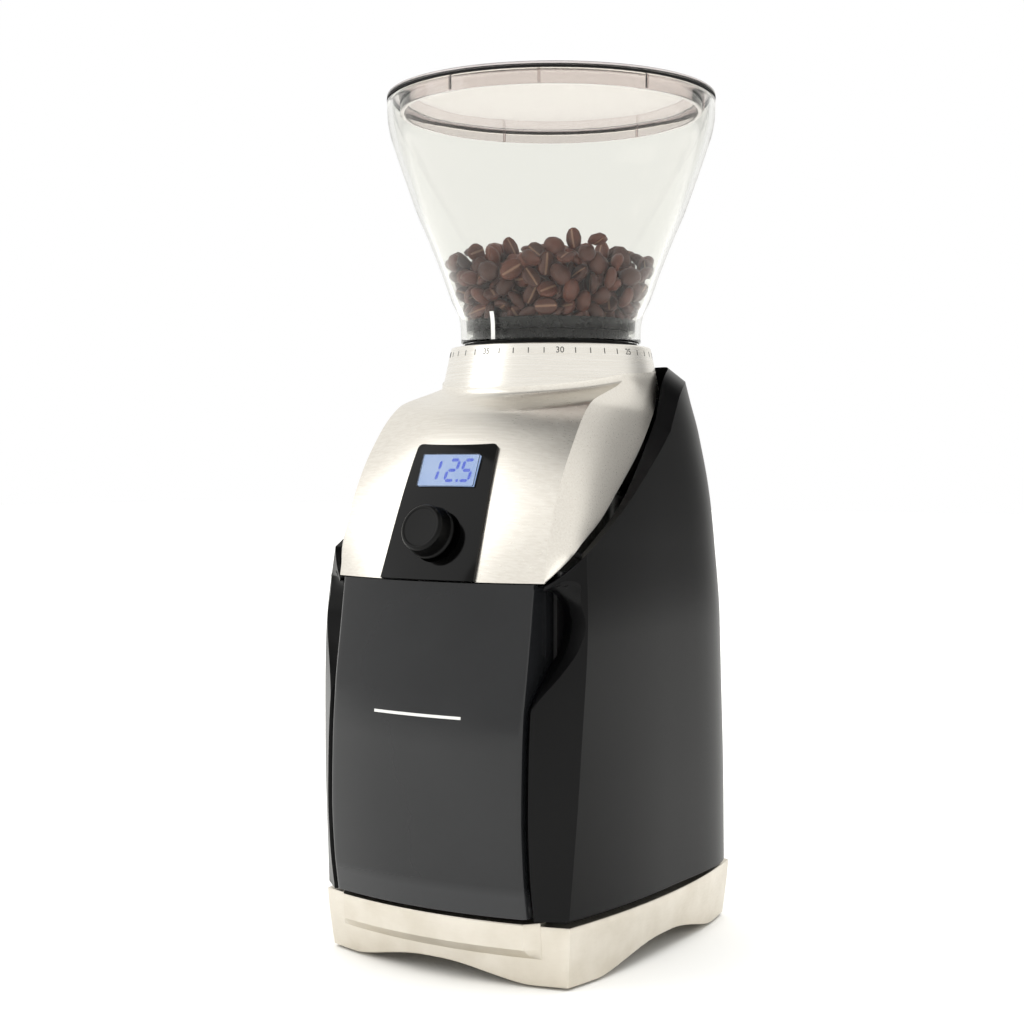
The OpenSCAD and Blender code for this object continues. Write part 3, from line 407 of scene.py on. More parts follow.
def grain(material, size, depth, rough, stretch=(1, 1, 1), detail=3.0, angle=(0, 0, 0)):
    """Noise of a size in mm that moves the roughness between two values and the surface by a
    depth in mm. Stretch lengthens it along the axes."""
    tree = material.node_tree
    shader = tree.nodes["Principled BSDF"]
    place = add(tree, "TexCoord").outputs["Object"]
    scale = [1 / s for s in stretch]
    turned_place = add(tree, "Mapping", {"Vector": place, "Scale": scale, "Rotation": angle})
    noise = add(tree, "TexNoise", {"Vector": turned_place.outputs[0], "Scale": 1000 / size, "Detail": detail})
    spread = add(tree, "MapRange", {0: noise.outputs[0], 1: 0.3, 2: 0.7, 3: rough[0], 4: rough[1]})
    tree.links.new(spread.outputs[0], shader.inputs["Roughness"])
    bump = add(tree, "Bump", {"Height": noise.outputs[0], "Distance": depth * MM, "Strength": 1.0})
    tree.links.new(bump.outputs[0], shader.inputs["Normal"])
    return material


def mottle(material, size, dark, light, stretch=(1, 1, 1)):
    """Noise of a size in mm that moves the colour between two hex values."""
    tree = material.node_tree
    place = add(tree, "TexCoord").outputs["Object"]
    scale = [1 / s for s in stretch]
    spread_place = add(tree, "Mapping", {"Vector": place, "Scale": scale})
    noise = add(tree, "TexNoise", {"Vector": spread_place.outputs[0], "Scale": 1000 / size, "Detail": 4.0})
    share = add(tree, "MapRange", {0: noise.outputs[0], 1: 0.32, 2: 0.68})
    blend = add(tree, "MixRGB", {0: share.outputs[0], 1: colour(dark), 2: colour(light)})
    tree.links.new(blend.outputs[0], tree.nodes["Principled BSDF"].inputs["Base Color"])
    return material


# %% [markdown]
# The metals. The hood is sheet-thin cast aluminium, brushed across its front and lacquered, so
# its grain is long along X and very fine up and down. The collar is brushed round. The base is
# a zinc casting under satin nickel: softer, warmer and almost without a direction. Real brush
# lines are about 0.05 mm wide; they are drawn 0.4 to 0.7 mm wide here so that they show.

# %% Metal finishes
brushed_hood = finish("brushed lacquered aluminium", "#d8d3ca", 0.3, Metallic=1.0)
grain(brushed_hood, 0.4, 0.0008, (0.27, 0.33), stretch=(50, 1, 1))
mottle(brushed_hood, 0.7, "#e6e1d8", "#f0ece4", stretch=(40, 1, 1))
brushed_collar = finish("turned lacquered aluminium", "#dedad2", 0.28, Metallic=1.0)
grain(brushed_collar, 0.4, 0.0008, (0.25, 0.31), stretch=(80, 80, 1))
mottle(brushed_collar, 0.6, "#eae6de", "#f3f0ea", stretch=(60, 60, 1))
cast_zinc = finish("satin nickel on cast zinc", "#d9d2c6", 0.36, Metallic=1.0)
grain(cast_zinc, 0.7, 0.006, (0.34, 0.46), stretch=(4, 4, 1))
mottle(cast_zinc, 14, "#d3ccbf", "#dfd9ce")
steel = finish("machined steel", "#b9b9ba", 0.3, Metallic=1.0)
grain(steel, 0.4, 0.003, (0.24, 0.38), stretch=(3, 3, 1))
burr_steel = finish("ground tool steel", "#8d8f93", 0.24, Metallic=1.0)
grain(burr_steel, 0.3, 0.003, (0.18, 0.34), stretch=(1, 1, 6))
gearbox_cast = finish("sand-blasted die casting", "#8f8f8d", 0.5, Metallic=1.0)
grain(gearbox_cast, 0.6, 0.03, (0.42, 0.6))
zinc_plate = finish("zinc-plated steel", "#a9acae", 0.34, Metallic=1.0)
mottle(zinc_plate, 6, "#9ea2a5", "#b6b8b6")
brass = finish("cut brass", "#c9a24d", 0.25, Metallic=1.0)
grain(brass, 0.4, 0.003, (0.2, 0.34), stretch=(1, 1, 5))
copper = finish("enamelled copper winding", "#9a4a22", 0.32, Metallic=1.0)
grain(copper, 0.9, 0.12, (0.25, 0.42), stretch=(8, 8, 1))

# %% [markdown]
# The plastics. The housing is black ABS from a polished tool with a faint texture: dark, with a
# broad soft highlight. The panel is much glossier, and the knob keeps a fine spark texture. The
# bin is smoke-tinted and reads as dark grey gloss, with a paler band near its foot that is painted
# light, standing for light that comes through the tinted plate there. The hopper is clear styrene
# acrylonitrile, which is polished enough to be treated as glass with a real wall.
# The clear plastics get a lower index of refraction than the real 1.49 to 1.57, because the real
# one hazed what stands behind them.

# %% Plastic finishes
black_body = finish("satin black ABS", "#070708", 0.28, Specular_IOR_Level=0.15)
grain(black_body, 0.35, 0.0035, (0.3, 0.37))
black_abs = finish("matt black ABS", "#0c0c0d", 0.5)
grain(black_abs, 0.5, 0.012, (0.44, 0.58))
panel_gloss = finish("polished black acrylic", "#020202", 0.07, Specular_IOR_Level=0.13)
grain(panel_gloss, 9, 0.004, (0.07, 0.12))
knob_black = finish("black ABS, fine spark texture", "#040404", 0.3, Specular_IOR_Level=0.15)
grain(knob_black, 0.3, 0.004, (0.28, 0.38))
smoke_bin = finish("smoke-tinted SAN over dark grounds", "#1b1c1e", 0.12, Specular_IOR_Level=0.4)
grain(smoke_bin, 22, 0.01, (0.1, 0.16))
mottle(smoke_bin, 60, "#191a1c", "#202123")
tree = smoke_bin.node_tree
smoke_shader = tree.nodes["Principled BSDF"]
smoke_tone = smoke_shader.inputs["Base Color"].links[0].from_socket
# Painted light: near its foot the plate's colour turns paler, standing for the light that comes through the
# tinted plate there.
PAINTED_LIGHT_FROM, PAINTED_LIGHT_TO = 40 * MM, 36 * MM
bin_z = add(tree, "SeparateXYZ", {0: add(tree, "TexCoord").outputs["Object"]}).outputs["Z"]
painted_light_share = add(tree, "MapRange", {0: bin_z, 1: PAINTED_LIGHT_FROM, 2: PAINTED_LIGHT_TO, 3: 0.0, 4: 0.5})
painted_light_tone = add(tree, "MixRGB", {0: painted_light_share.outputs[0], 1: smoke_tone, 2: colour("#3b3c3e")})
tree.links.new(painted_light_tone.outputs[0], smoke_shader.inputs["Base Color"])
collar_black = finish("moulded black nylon", "#020202", 0.25, Specular_IOR_Level=0.3)
grain(collar_black, 3, 0.002, (0.25, 0.31))
acetal = finish(
    "natural acetal", "#dcd8cb", 0.38,
    Subsurface_Weight=0.15, Subsurface_Radius=(0.002, 0.002, 0.0015),
)
grain(acetal, 0.8, 0.004, (0.33, 0.45))
rubber = finish("moulded rubber", "#0a0a0a", 0.65, Specular_IOR_Level=0.25)
grain(rubber, 0.6, 0.003, (0.62, 0.8))
clear_hopper = finish("clear SAN", "#f4f4f0", 0.02, Transmission_Weight=1.0, IOR=1.28)
grain(clear_hopper, 30, 0.002, (0.012, 0.03))
smoke_lid = finish("smoke-tinted SAN", "#e4dcda", 0.03, Transmission_Weight=1.0, IOR=1.4)
grain(smoke_lid, 26, 0.002, (0.02, 0.04))
window_clear = finish("clear acrylic window", "#f4f7fb", 0.02, Transmission_Weight=1.0, IOR=1.3)
grain(window_clear, 20, 0.001, (0.015, 0.03))

# %% [markdown]
# The rest are the boards, the wires, the magnets and the print. Most stand inside the housing,
# so one colour with a little noise in its roughness is enough for them.

# %% Printed, electric and other finishes
circuit_board = finish("solder mask on glass epoxy", "#12502f", 0.35)
mottle(circuit_board, 2.2, "#0e4326", "#1a6139", stretch=(6, 1, 1))
component_black = finish("moulded components", "#1b1b1d", 0.45)
grain(component_black, 0.5, 0.01, (0.38, 0.52))
ferrite = finish("sintered ferrite", "#2b2a2b", 0.6)
grain(ferrite, 0.7, 0.02, (0.5, 0.68))
wire_red = finish("red wire insulation", "#8e1414", 0.42)
grain(wire_red, 1.2, 0.01, (0.36, 0.5))
wire_grey = finish("grey ribbon insulation", "#77787a", 0.45)
grain(wire_grey, 1.2, 0.01, (0.4, 0.52))
print_white = finish("white print", "#f1f1ee", 0.45)
grain(print_white, 0.5, 0.002, (0.4, 0.5))
print_grey = finish("etched dark print", "#161616", 0.5)
grain(print_grey, 0.4, 0.002, (0.45, 0.55))

# %% [markdown]
# The display is lit from behind by a pale blue sheet, whose tone wanders a little across it. The
# liquid crystal digits are a deeper blue and sit just in front of it. Both glow, because the real
# display is lit and would be too dark as plain paint.

# %% Display finishes
lcd_glow = finish("backlit display", "#1a2436", 0.4, Emission_Strength=0.72)
glow = lcd_glow.node_tree
glow_place = add(glow, "TexCoord").outputs["Object"]
glow_noise = add(glow, "TexNoise", {"Vector": glow_place, "Scale": 90.0, "Detail": 1.0})
glow_tone = add(glow, "MixRGB", {0: glow_noise.outputs[0], 1: colour("#8eb0ea"), 2: colour("#c4d8f6")})
glow.links.new(glow_tone.outputs[0], glow.nodes["Principled BSDF"].inputs["Emission Color"])
lcd_digit = finish("liquid crystal digit", "#0a1a50", 0.4, Emission_Strength=0.9)
lcd_digit.node_tree.nodes["Principled BSDF"].inputs["Emission Color"].default_value = colour("#1f49c9")
grain(lcd_digit, 1.5, 0.001, (0.35, 0.45))

# %% [markdown]
# Every solid of the frame names the finish that it wants, so one table and one loop dress all of
# them. Where a piece made further down replaces a solid, that solid is hidden.

# %% Finishes of the solids that stay
FINISHES = {
    "cast_zinc": cast_zinc, "rubber": rubber, "steel": steel, "black_abs": black_abs,
    "black_body": black_body, "brushed_hood": brushed_hood, "panel_gloss": panel_gloss,
    "window_clear": window_clear, "lcd_backlit": lcd_glow, "circuit_board": circuit_board,
    "knob_black": knob_black, "smoke_bin": smoke_bin, "gearbox_cast": gearbox_cast,
    "zinc_plate": zinc_plate, "ferrite": ferrite, "brass": brass, "copper_winding": copper,
    "acetal": acetal, "burr_steel": burr_steel, "collar_black": collar_black,
    "clear_hopper": clear_hopper, "smoke_lid": smoke_lid, "component_black": component_black,
    "wire_red": wire_red, "wire_grey": wire_grey,
}
for subpart in frame["record"]["subparts"]:
    solid = nodes[subpart["node"]]
    solid.data.materials.clear()
    solid.data.materials.append(FINISHES[subpart["material_slot"]])

# %% [markdown]
# ## The housing
# The housing is one moulding: a flat bevel beside the bin, a soft crease, a side that bows
# gently, and rear corners that are nearly square at the foot and round at the shoulder. Each
# width changes with height along its own curve, and the outline at a height is three stretches
# that meet: the bevel, the side and a superellipse round the back.

# %% Widths of the housing
def share(z):
    """Height as a share of the housing, 0 at its foot and 1 at its shoulder."""
    return (z - BODY_FOOT) / (SHOULDER_Z - BODY_FOOT)


def half_at(z):
    knots = (0, 0.985), (0.27, 1), (0.5, 1), (0.67, 0.965), (0.79, 0.93), (0.89, 0.893), (1, 0.864)
    return BODY_HALF * curve(share(z), *knots)


def rear_at(z):
    return BODY_REAR * curve(share(z), (0, 1), (0.5, 0.945), (0.78, 0.9), (0.95, 0.86), (1, 0.85))


def squareness(z):
    return curve(share(z), (0, 4.1), (0.5, 3.5), (0.72, 3.4), (0.88, 2.9), (0.95, 2.4), (1, 2.1))


def crease_x(z):
    return half_at(z) - curve(share(z), (0, 6), (0.27, 3.5), (0.5, 2), (0.67, 2.3))


def crease_y(z):
    return -BODY_FRONT + curve(share(z), (0, 0.3), (0.27, 2.3), (0.5, 5), (0.67, 8.2))


def edge_y(z):
    """The housing's edge beside the bin, which bows forwards at half height."""
    knots = (0, 8.5), (0.14, 11.2), (0.31, 12.5), (0.49, 12), (0.66, 10.4), (0.84, 7.1), (1, 4.2)
    return -BODY_FRONT - curve((z - BODY_FOOT) / BIN_H, *knots)


def brow_z(y):
    """The height of the housing's upper edge, which climbs beside the hood to the shoulder."""
    knots = (
        (-87, -0.4), (-80, 6), (-70, 11.5), (-54, 21), (-40, 29.5), (-22, 42),
        (-11, 49.5), (0, 58), (13.5, 68), (20, 72.5), (30, 77), (45, 80), (60, 81),
    )
    return SPLIT_Z + curve(y, *knots)


BIN_EDGE = BIN_HALF + 2.5
SIDE_BOW_START = -15


def outline(c, z):
    """The housing's plan: c runs 0 to 1 over the bevel, to 2 along the side, to 3 round the
    rear corner to the middle of the back."""
    bevel = np.clip(c, 0, 1)
    side = np.clip(c - 1, 0, 1)
    side_y = crease_y(z) * (1 - side)
    forward = np.clip((SIDE_BOW_START - side_y) / (SIDE_BOW_START - crease_y(z)), 0, 1)
    turn = np.clip(c - 2, 0, 1) * np.pi / 2
    power = 2 / squareness(z)
    x = np.select(
        [c <= 1, c <= 2],
        [mix(BIN_EDGE, crease_x(z), bevel), half_at(z) - (half_at(z) - crease_x(z)) * forward**2.2],
        half_at(z) * np.abs(np.cos(turn)) ** power,
    )
    y = np.select(
        [c <= 1, c <= 2],
        [mix(edge_y(z), crease_y(z), bevel), side_y],
        rear_at(z) * np.sin(turn) ** power,
    )
    return x, y


# %% [markdown]
# Beside the bin the housing is cut away for a finger. The cut is widest near its top and runs
# out to a point below. It has two faces: a facet that tilts in from the bevel, and a darker one
# that drops towards the bin. The grid's columns follow the cut's two edges, so both stay crisp.


# %% The finger recess
def recess_share(z):
    """How much of the bevel the recess takes at height z."""
    knots = (
        (-47, 0), (-41.5, 0.2), (-33.5, 0.55), (-25, 0.83), (-15.5, 0.96),
        (-9.5, 0.88), (-5.5, 0.7), (-2.2, 0.36), (-0.8, 0),
    )
    return curve(z - SPLIT_Z, *knots)


FACET_DEPTH = 1.6
POCKET_DEPTH = 6.5


def recessed(k, z):
    """The column share k of the bevel, moved to the recess's edges, and the y of the surface."""
    taken = recess_share(z)
    rim = np.maximum(taken, curve(z - SPLIT_Z, (-70, 0.667), (-48, 0.12), (0, 0.12)))
    fold = rim / 2
    t = np.select(
        [k < 1 / 3, k < 2 / 3],
        [3 * k * fold, mix(fold, rim, 3 * k - 1)],
        mix(rim, 1, 3 * k - 2),
    )
    front, back = edge_y(z), crease_y(z)
    flat = mix(front, back, t)
    rim_y = mix(front, back, taken)
    fold_y = rim_y + FACET_DEPTH * taken
    deep_y = fold_y + POCKET_DEPTH * taken**1.5
    cut = np.where(
        t < taken / 2,
        mix(deep_y, fold_y, t / np.maximum(taken / 2, 1e-6)),
        mix(fold_y, rim_y, (t - taken / 2) / np.maximum(taken / 2, 1e-6)),
    )
    return t, np.where(t < taken, np.maximum(cut, flat), flat)


# %% The housing's wall
def housing_grid():
    """Outer and inner grids of the right half, from the bin's edge to the middle of the back."""
    columns = np.concatenate(
        [np.linspace(0, 1, 31), np.linspace(1, 2, 30)[1:], 2 + np.linspace(0, 1, 44)[1:]]
    )[None, :]
    climb = np.concatenate([np.linspace(0, 0.6, 26), np.linspace(0.6, 1, 72)[1:]])[:, None]
    bevel = np.clip(columns, 0, 1)
    _, split_y = outline(columns, SPLIT_Z)
    z = mix(BODY_FOOT, SPLIT_Z, climb) * np.ones_like(columns)
    for _ in range(3):
        t, cut_y = recessed(bevel, z)
        level = mix(SPLIT_Z - 1.6, brow_z(crease_y(SPLIT_Z)), t**1.3)
        top = np.where(columns <= 1, level, brow_z(split_y))
        z = mix(BODY_FOOT, top, climb)
    c = np.where(columns <= 1, t, columns)
    x, y = outline(c, z)
    step = 0.01
    x_after, y_after = outline(c + step, z)
    x_before, y_before = outline(np.maximum(c - step, 0), z)
    along = np.hypot(x_after - x_before, y_after - y_before)
    out_x, out_y = (y_after - y_before) / along, -(x_after - x_before) / along
    out_x[:, -1:], out_y[:, -1:] = 0, 1
    y = np.where(columns < 1, cut_y, y)
    lip = 6 * ease(split_y, -55, 22) * ease(climb, 0.93, 1)
    outer = stack(x, y, z)
    inner = stack(x - BODY_WALL * out_x - 0.9 * lip, y - BODY_WALL * out_y, z + lip)
    inner[:, -1, 0] = 0
    return outer, inner


def both_sides(half):
    """A right half and its mirror image, as one run of columns."""
    return np.concatenate([half, half[:, -2::-1] * (-1, 1, 1)], axis=1)


body_outer, body_inner = (both_sides(grid) for grid in housing_grid())
piece(
    "body_housing", wall(body_outer, body_inner), black_body, "root",
    replaces=["body_shell"], bevel=0.5, sharp=24,
)

# %% [markdown]
# ## The hood
# The hood is lofted between three lines that climb to the collar: the middle of its front, the
# crease at its corner and the seam against the housing. It is nearly flat across the middle and
# turns down faster towards the crease, and in its last fifth it blends into a circle.

# %% The hood's surface
CREASE_ANGLE = 72
SEAM_ANGLE = 104


def hood_middle(v):
    knots = (
        (0, -90), (0.15, -84.4), (0.3, -79.2), (0.45, -74.3), (0.6, -69.2), (0.75, -62.6),
        (0.88, -54), (1, -COLLAR_FOOT_R),
    )
    rise = (0, 0), (0.3, 0.35), (0.6, 0.66), (0.75, 0.8), (0.88, 0.92), (1, 1)
    return stack(0 * v, curve(v, *knots), SPLIT_Z + HOOD_H * curve(v, *rise))


def hood_crease(v):
    knots = (
        (0, -81.8), (0.15, -79), (0.3, -74.3), (0.45, -67.8), (0.6, -59.4), (0.75, -49.5),
        (0.88, -35), (1, -14.2),
    )
    rise = (0, 0), (0.3, 0.37), (0.6, 0.71), (0.75, 0.86), (0.88, 0.98), (1, 1.075)
    x = CREASE_HALF * (1 - 0.1 * v**4)
    return stack(x, curve(v, *knots), SPLIT_Z + HOOD_H * curve(v, *rise))


def hood_seam(v):
    out = (0, 0), (0.15, 6.5), (0.3, 7), (0.45, 6), (0.6, 4.3), (0.75, 2.2), (0.88, -0.4), (1, -3.6)
    back = (0, -81), (0.15, -69), (0.3, -53), (0.45, -37), (0.6, -20), (0.75, -6), (0.88, 5), (1, 11)
    rise = (0, 0), (0.15, 0.16), (0.3, 0.3), (0.45, 0.46), (0.6, 0.63), (0.75, 0.79), (0.88, 0.94), (1, 1.1)
    return stack(CREASE_HALF + curve(v, *out), curve(v, *back), SPLIT_Z + HOOD_H * curve(v, *rise))


def hood_point(u, v):
    """u is 0 on the middle line, 1 or -1 on a crease and 2 or -2 on a seam; v climbs 0 to 1."""
    u, v = np.broadcast_arrays(np.asarray(u, float), np.asarray(v, float))
    side = np.sign(u)
    u = np.abs(u)
    middle, crease, seam = hood_middle(v), hood_crease(v), hood_seam(v)
    front = mix(middle, crease, (np.minimum(u, 1) ** 2.2)[..., None])
    front[..., 0] = crease[..., 0] * np.minimum(u, 1)
    flank = mix(crease, seam, np.clip(u - 1, 0, 1)[..., None])
    swell = 1.2 * np.sin(np.pi * np.clip(u - 1, 0, 1)) * ease(v, 0, 0.25)
    flank = flank + stack(swell, -swell, 0 * swell)
    flat = np.where((u <= 1)[..., None], front, flank)
    angle = np.radians(np.where(u <= 1, CREASE_ANGLE * u, mix(CREASE_ANGLE, SEAM_ANGLE, u - 1)))
    ring = stack(COLLAR_FOOT_R * np.sin(angle), -COLLAR_FOOT_R * np.cos(angle), flat[..., 2])
    made = mix(flat, ring, ease(v, 0.8, 1)[..., None])
    made[..., 0] *= np.where(side < 0, -1, 1)
    return made


def outward(grid):
    """Unit normals of a grid of points, from the steps between its rows and columns."""
    across = np.gradient(grid, axis=1)
    up = np.gradient(grid, axis=0)
    normal = np.cross(across, up)
    return normal / np.linalg.norm(normal, axis=-1, keepdims=True)


# %% Hood and collar
HOOD_WALL = 2.0
half_columns = np.concatenate(
    [np.linspace(0, 0.9, 28), np.linspace(0.9, 1, 7)[1:], 1 + np.linspace(0, 1, 26)[1:]]
)
hood_columns = np.concatenate([-half_columns[:0:-1], half_columns])[None, :]
hood_rows = np.linspace(0, 1, 96)[:, None]
hood_outer = hood_point(hood_columns, hood_rows)
thin_corner = 1 - 0.92 * ease(np.abs(hood_columns), 0.9, 1) * (1 - ease(hood_rows, 0, 0.2))
hood_inner = hood_outer - HOOD_WALL * thin_corner[..., None] * outward(hood_outer)
hood_inner[..., 2] = np.maximum(hood_inner[..., 2], SPLIT_Z)
hood_wall = wall(hood_outer, hood_inner)
hood = piece(
    "hood_cover", hood_wall, brushed_hood, "root", replaces=["hood"],
    bevel=0.35, sharp=22,
)
collar_outline = rounded(
    (COLLAR_FOOT_R - 2.4, COLLAR_Z - 4, 0.3), (COLLAR_FOOT_R - 0.1, COLLAR_Z - 4, 0.3),
    (COLLAR_FOOT_R - 0.1, COLLAR_Z + 0.5, 0.8), (COLLAR_TOP_R, COLLAR_TOP, 0.7),
    (COLLAR_TOP_R - HOOD_WALL, COLLAR_TOP, 0.4),
)
piece(
    "hood_collar", turned(collar_outline, 192), brushed_collar, "root",
    sharp=30,
)

# %% [markdown]
# ## The control panel
# A gloss black inlay follows the hood's own surface a little above it, so it is sampled from the
# same formula and lifted along the normal. Its sides taper upwards and its top corners are
# round. The display and the knob are set square to the hood at their own heights.

# %% Panel inlay
PANEL_HALF = 21.9
PANEL_TOP = 0.625
PANEL_GAP = 0.05
PANEL_T = 1.2
PANEL_CORNER = 0.035


def hood_skin(u, v, height):
    """Points on the hood lifted by a height along its normal."""
    e = 0.01
    at = hood_point(u, v)
    across = hood_point(u + e, v) - hood_point(u - e, v)
    up = hood_point(u, v + e) - hood_point(u, np.maximum(v - e, 0))
    normal = np.cross(across, up)
    normal /= np.linalg.norm(normal, axis=-1, keepdims=True)
    return at + height * normal


def panel_grid(height, inset=0.0):
    rise = np.concatenate([np.linspace(0, 1, 50), 1 - PANEL_CORNER * np.linspace(1, 0, 9)[1:] ** 2])
    rise = np.unique(np.minimum(rise, 1))[:, None]
    near_top = np.clip((rise - 1 + PANEL_CORNER) / PANEL_CORNER, 0, 1)
    half = (PANEL_HALF - inset) * (1 - 0.13 * rise) - 2.6 * (1 - np.sqrt(1 - near_top**2))
    u = half / CREASE_HALF * np.linspace(-1, 1, 29)[None, :]
    return hood_skin(u, rise * PANEL_TOP + 0 * u, height)


panel = piece(
    "panel_inlay", wall(panel_grid(PANEL_T), panel_grid(PANEL_GAP)), panel_gloss, "root",
    replaces=["control_panel"], bevel=0.3, sharp=40, segments=3,
)

# %% Places on the hood's face
DISPLAY_V, DISPLAY_TILT = 0.49, math.radians(22)
KNOB_V, KNOB_TILT = 0.19, math.radians(20)


def on_face(points, v, tilt):
    """Local points (across, up the face, out of the face) set on the middle of the hood."""
    across = np.array([1, 0, 0])
    up = np.array([0, math.sin(tilt), math.cos(tilt)])
    out = np.array([0, -math.cos(tilt), math.sin(tilt)])
    return hood_middle(np.array(v)) + points @ np.array([across, up, out])


# %% [markdown]
# The knob's shaft comes through the hood and the panel, behind the knob's foot. The hole could
# be an opening in both grids, but their columns don't follow a circle. So a cylinder a little
# wider than the shaft is subtracted and the result is kept as the mesh. The cut leaves a few
# very thin faces round the hole.


# %% Shaft hole
def drill(made, radius, low, high, v, tilt):
    """Subtract a cylinder, set square to the hood's face, from a piece and keep the result."""
    rim = [(0, low), (radius, low), (radius, high), (0, high)]
    points, faces = turned(rim, 64, closed=False)
    mesh = bpy.data.meshes.new("drill")
    placed = (on_face(points, v, tilt) + (0, AXIS_Y, 0)) * MM
    mesh.from_pydata(placed.tolist(), [], faces.tolist())
    work = bmesh.new()
    work.from_mesh(mesh)
    bmesh.ops.remove_doubles(work, verts=work.verts, dist=2e-6)
    bmesh.ops.recalc_face_normals(work, faces=work.faces)
    work.to_mesh(mesh)
    work.free()
    cutter = bpy.data.objects.new("drill", mesh)
    bpy.context.scene.collection.objects.link(cutter)
    cut = made.modifiers.new("hole", "BOOLEAN")
    cut.operation, cut.solver, cut.object = "DIFFERENCE", "EXACT", cutter
    kept = [m for m in made.modifiers if m.type == "BEVEL"]
    for m in kept:
        m.show_viewport = False
    bpy.context.view_layer.update()
    evaluated = made.evaluated_get(bpy.context.evaluated_depsgraph_get())
    holed = bpy.data.meshes.new_from_object(evaluated)
    made.modifiers.remove(cut)
    before = len(made.data.polygons)
    made.data = holed
    for m in kept:
        m.show_viewport = True
    bpy.data.objects.remove(cutter)
    print(made.name, "drilled:", before, "to", len(holed.polygons), "faces")


SHAFT_HOLE_R = 3.5
HOLE_LOW, HOLE_HIGH = -9, 6
for drilled in (hood, panel):
    drill(drilled, SHAFT_HOLE_R, HOLE_LOW, HOLE_HIGH, KNOB_V, KNOB_TILT)


# %% [markdown]
# The display is a lit sheet under a clear window, both plain plates with round corners. The
# inlay has no opening for them, so they stand about a millimetre proud of it.


# %% Display
def plate(width, height, corner, low, high, v, tilt):
    """A flat plate with round corners, set on the hood's face."""
    x, y = width / 2, height / 2
    rim = rounded((x, -y, corner), (x, y, corner), (-x, y, corner), (-x, -y, corner), steps=7)
    count = len(rim)
    levels = (0, low), (1, low), (1, high), (0, high)
    rings = np.stack([np.column_stack([rim * s, np.full(count, z)]) for s, z in levels])
    points = rings.reshape(-1, 3)
    return on_face(points, v, tilt), quads(len(levels), count, wrap_cols=True)


WINDOW_W = window_high[0] - window_low[0]
WINDOW_H = 13.2
WINDOW_OUT = 2.3
at_display = DISPLAY_V, DISPLAY_TILT
piece(
    "lcd_backlight",
    plate(WINDOW_W - 0.1, WINDOW_H - 0.1, 0.4, -3.0, WINDOW_OUT - 0.75, *at_display),
    lcd_glow, "root", replaces=["lcd_module"], sharp=30,
)
piece(
    "display_cover", plate(WINDOW_W, WINDOW_H, 0.5, WINDOW_OUT - 0.6, WINDOW_OUT, *at_display),
    window_clear, "root", replaces=["display_window"], bevel=0.12, sharp=30,
)

# %% [markdown]
# Each digit lights some of seven bars, as on any such display, slanted a little to the right.

# %% Digits
BARS = {  # centre across, centre up, and whether the bar is upright, in half digit heights
    "a": (0, 1, False), "b": (0.5, 0.5, True), "c": (0.5, -0.5, True), "d": (0, -1, False),
    "e": (-0.5, -0.5, True), "f": (-0.5, 0.5, True), "g": (0, 0, False),
}
DIGIT_HALF = 4.3
BAR_W = 1.3
SLANT = 0.12


def bar(x, y, upright, shift):
    """One six-sided bar of a digit, as a thin closed prism in the display's plane."""
    length = DIGIT_HALF - 0.55 if upright else DIGIT_HALF * 0.98 - 0.5
    end, side = length / 2, BAR_W / 2
    rim = np.array([
        (-end, 0), (side - end, -side), (end - side, -side),
        (end, 0), (end - side, side), (side - end, side),
    ])
    if upright:
        rim = rim[:, ::-1] * (-1, 1)
    spot = rim + np.array([x, y]) * DIGIT_HALF
    spot[:, 0] += SLANT * spot[:, 1] + shift
    low = np.column_stack([spot, np.full(6, WINDOW_OUT - 0.7)])
    high = low + (0, 0, 0.06)
    points = np.vstack([low.mean(0), low, high, high.mean(0)])
    ring = np.arange(6)
    after = (ring + 1) % 6
    sides = np.stack([ring + 1, after + 1, after + 7, ring + 7], axis=-1)
    bottom = np.stack([0 * ring, 0 * ring, after + 1, ring + 1], axis=-1)
    top = np.stack([0 * ring + 13, 0 * ring + 13, ring + 7, after + 7], axis=-1)
    return points, np.vstack([sides, bottom, top])


digits = [(-6.85, "bc"), (1.7, "abged"), (8.6, "afgcd")]
bars = [bar(*BARS[name], shift) for shift, names in digits for name in names]
dot_points, dot_faces = bar(0, 0, False, 0)
dot_points = dot_points * (0.36, 0.9, 1) + (5.0, -DIGIT_HALF, 0)
digit_points, digit_faces = joined(*bars, (dot_points, dot_faces))
piece(
    "lcd_digits", (on_face(digit_points, *at_display), digit_faces), lcd_digit, "root",
    sharp=30,
)

# %% [markdown]
# The knob is turned: a foot a little wider than the barrel, a barrel that tapers slightly, and a
# shallow dish in its end. An outline carried round an axis gives all of it in one piece.

# %% Knob
KNOB_R = 10
KNOB_FOOT = 3.0
KNOB_LEN = 11
knob_outline = rounded(
    (0, KNOB_FOOT, 0), (KNOB_R + 0.5, KNOB_FOOT, 0.3), (KNOB_R + 0.5, KNOB_FOOT + 0.9, 0.35),
    (KNOB_R - 0.1, KNOB_FOOT + 1.5, 0.5), (KNOB_R - 0.7, KNOB_LEN - 0.9, 0.3), (KNOB_R - 1.5, KNOB_LEN, 0.35),
    (KNOB_R - 2.3, KNOB_LEN, 0.3), (KNOB_R - 2.6, KNOB_LEN - 0.18, 0.1), (0, KNOB_LEN - 0.18, 0),
    closed=False,
)
knob_points, knob_faces = turned(knob_outline, 96, closed=False)
piece(
    "knob_cap", (on_face(knob_points, KNOB_V, KNOB_TILT), knob_faces), knob_black, "knob_body",
    replaces=["knob"], sharp=28,
)

# %% [markdown]
# ## The grounds bin
# The bin's front is one smoke-tinted plate that bows both across and up. Its corners are rolled
# to a small radius, and it returns to meet the tub behind.

# %% Bin front
BIN_PROUD = 1.5
BIN_BOW = 5.8
BIN_PLATE = 2.4
TUB_FRONT = -BODY_FRONT - 1.5
BIN_CORNER = 2.0


def bin_front_y(x, z):
    return edge_y(z) - BIN_PROUD - BIN_BOW * (1 - (x / BIN_HALF) ** 2)


